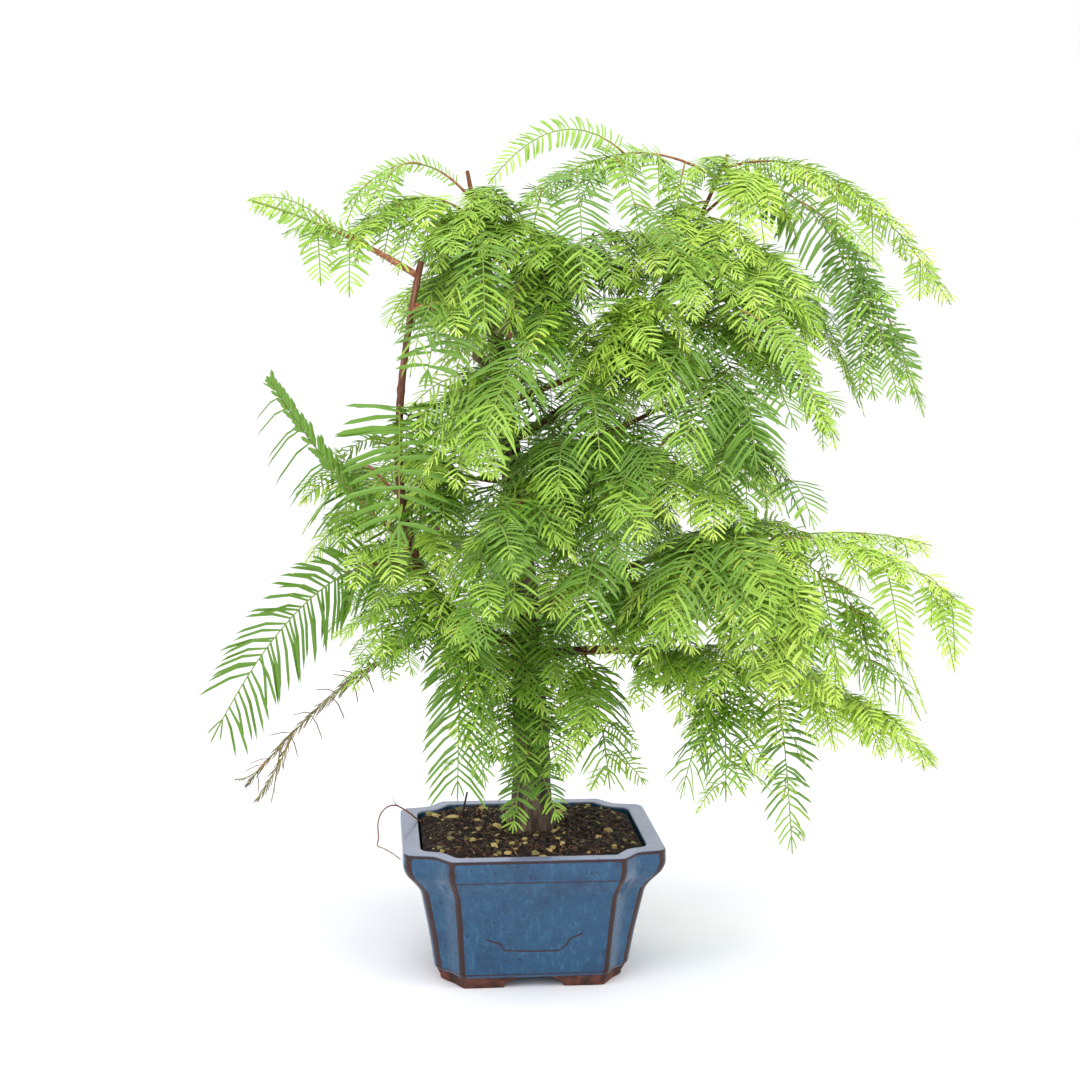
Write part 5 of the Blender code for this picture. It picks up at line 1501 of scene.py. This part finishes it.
@dataclass
class Crown:
    """Grows the sprays by the source's rule, finer, and clothes them in single needles."""

    trunk: Trunk
    shoot_steps: int = 400
    side_steps: int = 120
    bough_steps: int = 200
    side_arch: float = 0.16
    side_span: tuple = (0.22, 0.66)
    side_shortening: float = 0.3
    side_spread: float = 0.12
    side_bare: float = 0.06
    first_slot: float = 0.31
    slot_step: float = 0.618
    golden_angle: float = 137.508
    seed: int = 1000
    pitch_limits: tuple = (2.2, 12.0)
    needle_width: tuple = (0.66, 0.053)
    needle_sections: tuple = (0.0, 0.42, 0.84, 1.0)
    section_widths: tuple = (0.6, 1.0, 0.88)
    needle_ridge: float = 0.42
    needle_bend: float = 0.18
    tuft_angles: tuple = (-24.0, 0.0, 24.0)
    tuft_lengths: tuple = (0.36, 0.42, 0.36)
    tuft_hang: float = 0.08
    fresh_from: float = 0.8
    over_pot: tuple = (76.0, 61.0)
    above_soil: float = 84.5
    off_trunk: float = 0.8
    trunk_leafy: tuple = (186.0, 442.0)
    trunk_fronds: int = 46
    frond: float = 54.0
    old_needle: float = 20.0
    bough_spacing: float = 8.5
    leafy_share: dict = field(default_factory=lambda: {
        "left": (0.05, 0.5), "right_high": (0.1, 0.86), "front_low": (0.3, 0.97), "right_low": (0.34, 0.9),
        "left_thin": (0.7, 0.97)})
    sprays: list = field(default_factory=list)

    def arc(self, root: np.ndarray, tip: np.ndarray, arch: float, count: int) -> np.ndarray:
        """A shoot's axis: the chord from root to tip, its middle raised by the arch along a parabola."""
        t = np.linspace(0.0, 1.0, count)[:, None]
        return root + (tip - root) * t + UP * (4.0 * arch * t * (1.0 - t))

    def axes(self, path: np.ndarray, roll: float) -> tuple[np.ndarray, np.ndarray, np.ndarray]:
        """Along a spray: its directions, the way its needles spread and the way its face looks."""
        level = (path[-1] - path[0]) * (1.0, 1.0, 0.0)
        length = np.linalg.norm(level)
        level = level / length if length > 1.0 else np.array([0.0, -1.0, 0.0])
        along = np.gradient(path, axis=0)
        along /= np.linalg.norm(along, axis=1)[:, None]
        spread = np.tile(np.cross(level, UP), (len(path), 1))
        face = np.cross(spread, along)
        turn = math.radians(roll)
        return (along, spread * math.cos(turn) + face * math.sin(turn),
                face * math.cos(turn) - spread * math.sin(turn))

    def grow(self) -> None:
        """Grows every mass: its own shoots, its side sprays by the source's draws, and fine ones between.

        A shoot with long needles is an older one, so it is a step darker.
        """
        for number, (name, mass) in enumerate(MASSES.items()):
            paths = []
            for index, shoot in enumerate(mass.shoots):
                if isinstance(shoot.on, str):
                    root = self.root(shoot)
                else:
                    root = paths[shoot.on][int(shoot.at * (len(paths[shoot.on]) - 1))]
                path = self.arc(root, np.array(shoot.tip, float), shoot.arch, self.shoot_steps)
                paths.append(path)
                rank = 0 if isinstance(shoot.on, str) else 1
                tint = mass.tint.shifted(-1 if shoot.needle >= self.old_needle else 0)
                self.sprays.append(Spray(path, shoot.bare, shoot.needle, shoot.roll, tint, rank, shoot.comb,
                                         shoot.comb.fresh_tip, shoot.stem))
                self.grow_sides(mass, shoot, path, self.seed + 10 * number + index)
        self.grow_on_limbs()

    def root(self, shoot: Shoot) -> np.ndarray:
        """Where a mass's stem starts: on the trunk's axis at a height, or on a bough's at a share."""
        if shoot.on == "trunk":
            return self.trunk.axis(np.array(self.trunk.share_at(shoot.at)))
        path = self.trunk.bough_path(LIMBS[shoot.on], self.bough_steps + 1)
        return path[round(shoot.at * self.bough_steps)]

    def falling(self, root: np.ndarray, turn: float, fall: float, length: float) -> np.ndarray:
        """A spray's axis from its root, by its heading in plan, its fall below the level and its length."""
        level = math.cos(fall) * length
        tip = root + np.array([level * math.cos(turn), level * math.sin(turn), -length * math.sin(fall)])
        return self.arc(root, tip, length * self.side_arch, self.side_steps)

    def side(self, path: np.ndarray, at: float, slot: int, draw: Sequence[float], length: float, habit: Habit
             ) -> np.ndarray:
        """A side spray's axis: it forks off its shoot's heading in plan and falls below the level."""
        chord = path[-1] - path[0]
        fork = math.radians((habit.fork + habit.fork_spread * draw[0]) * (1 if slot % 2 else -1))
        turn = math.atan2(chord[1], chord[0]) + fork
        fall = math.radians(habit.fall + habit.fall_spread * draw[1])
        return self.falling(path[int(at * (len(path) - 1))], turn, fall, length)

    def grow_sides(self, mass: Mass, shoot: Shoot, path: np.ndarray, seed: int) -> None:
        """Grows a shoot's side sprays by the source's draws, in golden steps, left and right in turn."""
        for slot, draw in enumerate(dealt(seed, shoot.sides)):
            at = self.side_span[0] + self.side_span[1] * ((self.first_slot + slot * self.slot_step) % 1.0)
            length = shoot.length * (1.0 - self.side_shortening * at) * (1.0 + self.side_spread * draw[2])
            side = self.side(path, at, slot, draw, length, SIDE)
            own = min(shoot.needle, max(12.0, 0.44 * length))
            self.add_side(side, self.side_bare, own, 25.0 * draw[0], mass.tint, draw[2], 2)
        if mass.spacing and (isinstance(shoot.on, str) or shoot.sides):
            self.grow_fine(mass, shoot, path, FINE, 1.0, seed + 7000)
            if mass.hanging:
                self.grow_fine(mass, shoot, path, HANGING, mass.hanging, seed + 8000)

    def grow_fine(self, mass: Mass, shoot: Shoot, path: np.ndarray, habit: Habit, sparse: float, seed: int
                  ) -> None:
        """Grows fine sprays along a compound shoot, shorter towards its tip.

        Args:
            mass: The mass, for its spacing, its fringe and its tint.
            shoot: The shoot that carries them.
            path: The shoot's axis.
            habit: How they leave it.
            sparse: How many times the mass's spacing lies between them.
            seed: The seed of their draws.
        """
        run = length_of(path) * (1.0 - shoot.bare)
        count = int(run / (mass.spacing * sparse))
        start = max(0.08, shoot.bare)
        for slot, draw in enumerate(dealt(seed, count)):
            at = start + (0.95 - start) * (slot + 0.5 + 0.3 * draw[0]) / count
            length = mass.fringe * habit.length * (1.0 - 0.55 * at ** 1.5) * (1.0 + 0.2 * draw[2])
            side = self.side(path, at, slot, draw, length, habit)
            own = min(shoot.needle, max(10.0, 0.4 * length))
            self.add_side(side, self.side_bare, own, 30.0 * draw[1], mass.tint, draw[2], 3)

    def add_side(self, path: np.ndarray, bare: float, needle: float, roll: float, tint: Tint, draw: float,
                 rank: int) -> None:
        """Adds a side spray and deals it its tint: lighter ones more often far from the crown's middle axis
        and darker ones near it, as painted light on the crown's outside and painted shade inside it.

        Args:
            path: Its axis.
            bare: The share of it that is bare.
            needle: Its needles' length.
            roll: Its plane's turn.
            tint: The tint of what it grows on.
            draw: Its own draw, from -1 to 1.
            rank: Its rank among the stems.
        """
        out = float(np.hypot(path[-1][0] + 8.0, path[-1][1]))
        # Painted shade and light: a spray near the crown's middle axis is more often a step darker, and one
        # far out is more often a step lighter.
        step = 1 if draw > 1.0 - 0.006 * out else -1 if draw < -0.15 - 0.006 * out else 0
        # Lighter fresh tips are young growth, and dealing them more often to sprays far out adds painted
        # light to the crown's outside.
        lit = draw > 0.55 - 0.008 * out
        self.sprays.append(Spray(path, bare, needle, roll, tint.shifted(step), rank, FERN, lit))

    def grow_on_limbs(self) -> None:
        """Grows short fronds on the trunk, a golden angle apart, and along the boughs' leafy parts."""
        low, high = self.trunk_leafy
        for slot, draw in enumerate(dealt(self.seed + 5, self.trunk_fronds)):
            rise = (slot + 0.5 + 0.4 * draw[0]) / self.trunk_fronds
            root = self.trunk.axis(np.array(self.trunk.share_at(low + (high - low) * rise)))
            fall = math.radians(36.0 + 20.0 * draw[1])
            length = self.frond * (1.15 - 0.35 * rise) * (1.0 + 0.15 * draw[2])
            path = self.falling(root, math.radians(self.golden_angle * slot), fall, length)
            self.add_side(path, 0.2, 22.0 - 4.0 * rise, 35.0 * draw[1], Tint.MID, draw[2], 3)
        for number, (name, limb) in enumerate(LIMBS.items()):
            path = self.trunk.bough_path(limb, self.bough_steps + 1)
            start, end = self.leafy_share.get(name, (0.12, 0.97))
            count = int(length_of(path) * (end - start) / self.bough_spacing)
            for slot, draw in enumerate(dealt(self.seed + 6 + number, count)):
                at = start + (end - start) * (slot + 0.5 + 0.4 * draw[0]) / count
                own = self.frond * (1.0 - 0.25 * at) * (1.0 + 0.15 * draw[2])
                side = self.side(path, at, slot, draw, own, ON_BOUGH)
                self.add_side(side, 0.1, 21.0 - 3.0 * at, 35.0 * draw[1], Tint.MID, draw[2], 3)

    def clothe(self, spray: Spray, rng: np.random.Generator) -> dict[str, np.ndarray]:
        """The needles of one spray, two to a node, as in the source but finer.

        Each needle starts on the axis and leaves it at its comb's angles. Its length is the spray's own at
        its share of the spray, less a little by a seeded draw. A short tuft closes the tip.

        Args:
            spray: The spray.
            rng: The generator of the small differences.

        Returns:
            Arrays of starts, directions, forward and face directions, lengths and shares.
        """
        path = spray.path
        last = int((1.0 - min(0.25, 0.28 * spray.needle / length_of(path))) * (len(path) - 1))
        leafy = path[int(spray.bare * (len(path) - 1)):last + 1]
        along, spread, face = self.axes(leafy, spray.roll)
        comb = spray.comb
        pitch = float(np.clip(comb.pitch * spray.needle, *self.pitch_limits))
        pairs = max(5, int(length_of(leafy) / pitch))
        share = (np.arange(pairs) + 0.5) / pairs
        place = share * (len(leafy) - 1)
        first = np.floor(place).astype(int)
        along, spread, face, start = along[first], spread[first], face[first], leafy[first]
        share = np.repeat(share, 2)
        side = np.tile([-1.0, 1.0], pairs)
        along, spread, face, start = (np.repeat(part, 2, axis=0) for part in (along, spread, face, start))
        jitter = rng.normal(0.0, 1.0, (4, 2 * pairs))
        closing = (comb.angles[1] - comb.angles[0]) * share ** 1.5
        angle = np.radians(comb.angles[0] + closing + 4.5 * jitter[0])
        reach = spray.needle * np.minimum(1.0, 0.75 + share) * (1.0 - comb.taper * share ** 3.2)
        reach = reach * np.where(side < 0, *comb.sides) * np.clip(0.95 + 0.05 * jitter[1], 0.8, 1.03)
        lift = (0.12 * jitter[2])[:, None] * face
        hang = comb.droop + 0.06 * rng.uniform(-1.0, 1.0, 2 * pairs)
        way = along * np.cos(angle)[:, None] + (spread * side[:, None] + lift) * np.sin(angle)[:, None]
        start = start + along * (0.3 * pitch * jitter[3])[:, None]
        tuft = np.radians(self.tuft_angles)
        tuft_way = along[-1] * np.cos(tuft)[:, None] + spread[-1] * np.sin(tuft)[:, None]
        tuft_reach = np.array(self.tuft_lengths) * spray.needle
        more = len(tuft)
        end = np.repeat(leafy[-1:], more, axis=0)
        return {
            "start": np.concatenate([start, end]), "way": np.concatenate([way, tuft_way]),
            "along": np.concatenate([along, along[-more:]]), "face": np.concatenate([face, face[-more:]]),
            "length": np.concatenate([reach, tuft_reach]), "share": np.append(share, [1.0] * more),
            "hang": np.append(hang, [self.tuft_hang] * more), "broad": np.full(len(share) + more, comb.width)}

    def needle_points(self, batch: dict[str, np.ndarray]) -> np.ndarray:
        """The points of many needles at once.

        The middle line is start + length * (s * way + bend * (s squared - s) * along) less its hang times s
        squared. On it stand three sections of three points (right edge, left edge, ridge) and a tip.

        Args:
            batch: Arrays from clothe, joined.

        Returns:
            Needles by ten points by three.
        """
        s = np.array(self.needle_sections)[None, :, None]
        length = batch["length"][:, None, None]
        way = batch["way"] / np.linalg.norm(batch["way"], axis=1)[:, None]
        line = batch["start"][:, None] + length * (
            s * way[:, None] + self.needle_bend * (s ** 2 - s) * batch["along"][:, None]
            - batch["hang"][:, None, None] * s ** 2 * UP)
        right = np.cross(way, batch["face"])
        right /= np.linalg.norm(right, axis=1)[:, None]
        above = np.cross(right, way)
        width = (self.needle_width[0] + self.needle_width[1] * batch["length"]) * batch["broad"]
        half = 0.5 * width[:, None, None] * np.array(self.section_widths)[None, :, None]
        ridge = self.needle_ridge * half
        middle = line[:, :3]
        edge = right[:, None] * half
        sections = np.stack([middle + edge, middle - edge, middle + above[:, None] * ridge], axis=2)
        return np.concatenate([sections.reshape(len(length), NEEDLE_POINTS - 1, 3), line[:, 3:]], axis=1)

    def clear(self, points: np.ndarray, ground: Ground) -> np.ndarray:
        """Which needles stay inside the plant's box, above the soil and out of the trunk."""
        room = points * MM + ground.offset
        inside = ((room > ground.low) & (room < ground.high)).all(axis=(1, 2))
        tips = points[:, -1]
        over_pot = (np.abs(tips[:, :2]) < self.over_pot).all(axis=1)
        above = ~(over_pot & (tips[:, 2] < self.above_soil))
        share = np.clip(self.trunk.share_at(tips[:, 2]), 0.0, 1.0)
        apart = np.linalg.norm((tips - self.trunk.axis(share))[:, :2], axis=1)
        return inside & above & (apart > self.trunk.radius(share) + self.off_trunk)

    def build(self, ground: Ground) -> None:
        """Grows the crown, builds its needles by tint and its twigs by skin."""
        self.grow()
        rng = np.random.default_rng(self.seed)
        by_tint: dict[Tint, list[np.ndarray]] = {tint: [] for tint in Tint}
        for spray in self.sprays:
            batch = self.clothe(spray, rng)
            points = self.needle_points(batch)
            keep = self.clear(points, ground)
            young = (batch["share"] > self.fresh_from) & spray.lit
            by_tint[spray.tint].append(points[keep & ~young])
            by_tint[spray.tint.shifted(1)].append(points[keep & young])
        nodes = [f"foliage_{name}" for name in MASSES]
        total = 0
        for tint, parts in by_tint.items():
            points = np.concatenate(parts)
            total += len(points)
            material = tint.material()
            pieces = math.ceil(len(points) * NEEDLE_TRIANGLES / PIECE_TRIANGLES)
            for number, part in enumerate(np.array_split(points, pieces)):
                self.build_needles(ground, f"needles_{tint.name.lower()}_{number + 1}", part, material, nodes)
        self.build_twigs(ground, nodes)
        log.info("crown: %d sprays, %d needles of %d triangles", len(self.sprays), total, NEEDLE_TRIANGLES)

    def build_needles(self, ground: Ground, name: str, points: np.ndarray, material: bpy.types.Material,
                      nodes: list[str]) -> None:
        """Builds one piece of needles, each closed round its three sections and its tip."""
        one = [(0, 2, 1)]
        for low in (0, 3):
            for a, b in ((0, 1), (1, 2), (2, 0)):
                one += [(low + a, low + b, low + 3 + b), (low + a, low + 3 + b, low + 3 + a)]
        one += [(6, 7, 9), (7, 8, 9), (8, 6, 9)]
        faces = np.array(one)[None] + (np.arange(len(points)) * NEEDLE_POINTS)[:, None, None]
        ground.piece(name, points, [faces.reshape(-1, 3)], material, nodes, smooth=False)

    def build_twigs(self, ground: Ground, nodes: list[str]) -> None:
        """Builds the stems: brown where a shoot leaves its limb, tan to green further out."""
        skins = {
            0: ("stems_brown", TwigFinish("stem_brown", srgb(138, 84, 56), srgb(186, 132, 88)), (1.1, 0.4)),
            1: ("stems_tan", TwigFinish("stem_tan", srgb(150, 112, 60), srgb(156, 146, 72)), (0.7, 0.38)),
            2: ("stems_green", TwigFinish("stem_green", srgb(120, 142, 60), srgb(150, 150, 74)), (0.5, 0.32)),
            3: ("stems_fine", TwigFinish("stem_fine", srgb(124, 156, 62), srgb(150, 164, 78)), (0.42, 0.28))}
        for rank, (name, skin, ends) in skins.items():
            sprays = [spray for spray in self.sprays if spray.rank == rank]
            stations, sides = (25, 6) if rank == 0 else (11, 5)
            share = np.linspace(0.0, 1.0, stations)
            paths = np.stack([spray.path[(share * (len(spray.path) - 1)).astype(int)] for spray in sprays])
            bare = np.array([spray.bare for spray in sprays])[:, None]
            thinned = np.clip((share[None] - 0.4 * bare) / 0.5, 0.0, 1.0) ** 0.7
            radii = ends[0] + (ends[1] - ends[0]) * thinned
            radii = radii * np.array([spray.stem for spray in sprays])[:, None]
            young = np.clip((share[None] - bare) / 0.35, 0.0, 1.0)
            points, faces, grain = tubes(paths, radii, sides)
            ground.piece(name, points, faces, skin.build(), nodes,
                         attributes={"grain": grain, "young": np.repeat(young.ravel(), sides)})


# The studio


@dataclass
class Studio:
    """A pale floor that curves up behind, soft white light and the camera at the photograph's angle."""

    eye: tuple = (-95.0, -970.0, 387.0)
    yaw: float = 5.87
    pitch: float = 7.8
    roll: float = 0.64
    focal: float = 1700.0
    frame: float = 1080.0
    sensor: float = 36.0
    floor_ends: tuple = (-5.0, 3.2)
    floor_half_width: float = 5.0
    bend_start: float = 1.6

    def build(self, ground: Ground) -> None:
        """Sets up the floor, the lights, the world and the camera."""
        self.build_floor()
        self.build_lights()
        self.build_camera(ground)

    def build_floor(self) -> None:
        """Builds the floor in metres: flat, then rising behind as a quarter of a circle of 1 m."""
        u = np.linspace(-self.floor_half_width, self.floor_half_width, 41)
        run = np.linspace(*self.floor_ends, 83)
        turn = np.clip(run - self.bend_start, 0.0, np.pi / 2)
        y = np.where(run < self.bend_start, run, self.bend_start + np.sin(turn))
        z = 1.0 - np.cos(turn)
        points = np.stack(np.broadcast_arrays(u[None, :], y[:, None], z[:, None]), axis=-1).reshape(-1, 3)
        mesh = bpy.data.meshes.new("studio_floor")
        mesh.from_pydata(points.tolist(), [], grid_faces(len(run), len(u), wrap=False).tolist())
        mesh.shade_smooth()
        recipe = Recipe("studio_paper")
        cloth = recipe.noise(recipe.place(), 9.0, 3.0)
        shade = recipe.mix(cloth.step(0.35, 0.65), srgb(250, 250, 252), srgb(244, 246, 252))
        mesh.materials.append(recipe.finish(Base_Color=shade, Roughness=0.9, Specular_IOR_Level=0.1))
        floor = bpy.data.objects.new("studio_floor", mesh)
        bpy.context.scene.collection.objects.link(floor)
        floor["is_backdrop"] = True

    def build_lights(self) -> None:
        """Adds a wide soft light above, one at each front side and a bright even world."""
        world = bpy.data.worlds.new("studio_world")
        bpy.context.scene.world = world
        world.use_nodes = True
        world.node_tree.nodes["Background"].inputs["Color"].default_value = (1.0, 1.0, 1.0, 1.0)
        world.node_tree.nodes["Background"].inputs["Strength"].default_value = 1.0
        for name, place, aim, size, power in (
                ("light_above", (0.1, -0.35, 1.5), (0.0, 0.0, 0.25), 1.2, 11.0),
                ("light_left", (-1.1, -0.9, 0.9), (0.0, 0.0, 0.2), 0.7, 7.0),
                ("light_right", (1.2, -0.7, 0.8), (0.0, 0.0, 0.2), 0.8, 5.0)):
            data = bpy.data.lights.new(name, "AREA")
            data.size = size
            data.energy = power
            light = bpy.data.objects.new(name, data)
            spot = np.array(place)
            back = spot - np.array(aim)
            back = back / np.linalg.norm(back)
            right = np.cross(UP, back)
            right /= np.linalg.norm(right)
            matrix = np.eye(4)
            matrix[:3, :4] = np.column_stack([right, np.cross(back, right), back, spot])
            light.matrix_world = Matrix(matrix.tolist())
            bpy.context.scene.collection.objects.link(light)
        bpy.context.scene.view_settings.view_transform = "Standard"

    def build_camera(self, ground: Ground) -> None:
        """Places the camera where the photograph was taken from."""
        data = bpy.data.cameras.new("camera")
        data.sensor_width = self.sensor
        data.lens = self.focal / self.frame * self.sensor
        data.clip_end = 50.0
        camera = bpy.data.objects.new("camera", data)
        spot = np.array(self.eye) * MM + ground.offset
        camera.matrix_world = (
            Matrix.Translation(spot.tolist()) @ Matrix.Rotation(math.radians(-self.yaw), 4, "Z")
            @ Matrix.Rotation(math.radians(90.0 - self.pitch), 4, "X")
            @ Matrix.Rotation(math.radians(self.roll), 4, "Z"))
        bpy.context.scene.collection.objects.link(camera)
        bpy.context.scene.camera = camera


def main() -> None:
    """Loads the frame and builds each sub-assembly in order."""
    logging.basicConfig(level=logging.INFO, format="%(message)s")
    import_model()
    low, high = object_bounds()
    pot_low, pot_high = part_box("pot")
    offset = np.array([(pot_low[0] + pot_high[0]) / 2, (pot_low[1] + pot_high[1]) / 2, 0.0])
    ground = Ground(offset, np.array(low), np.array(high))
    pot = Pot()
    pot.build(ground)
    Soil(pot).build(ground)
    trunk = Trunk()
    trunk.build(ground)
    Crown(trunk).build(ground)
    Studio().build(ground)


if __name__ == "__main__":
    main()
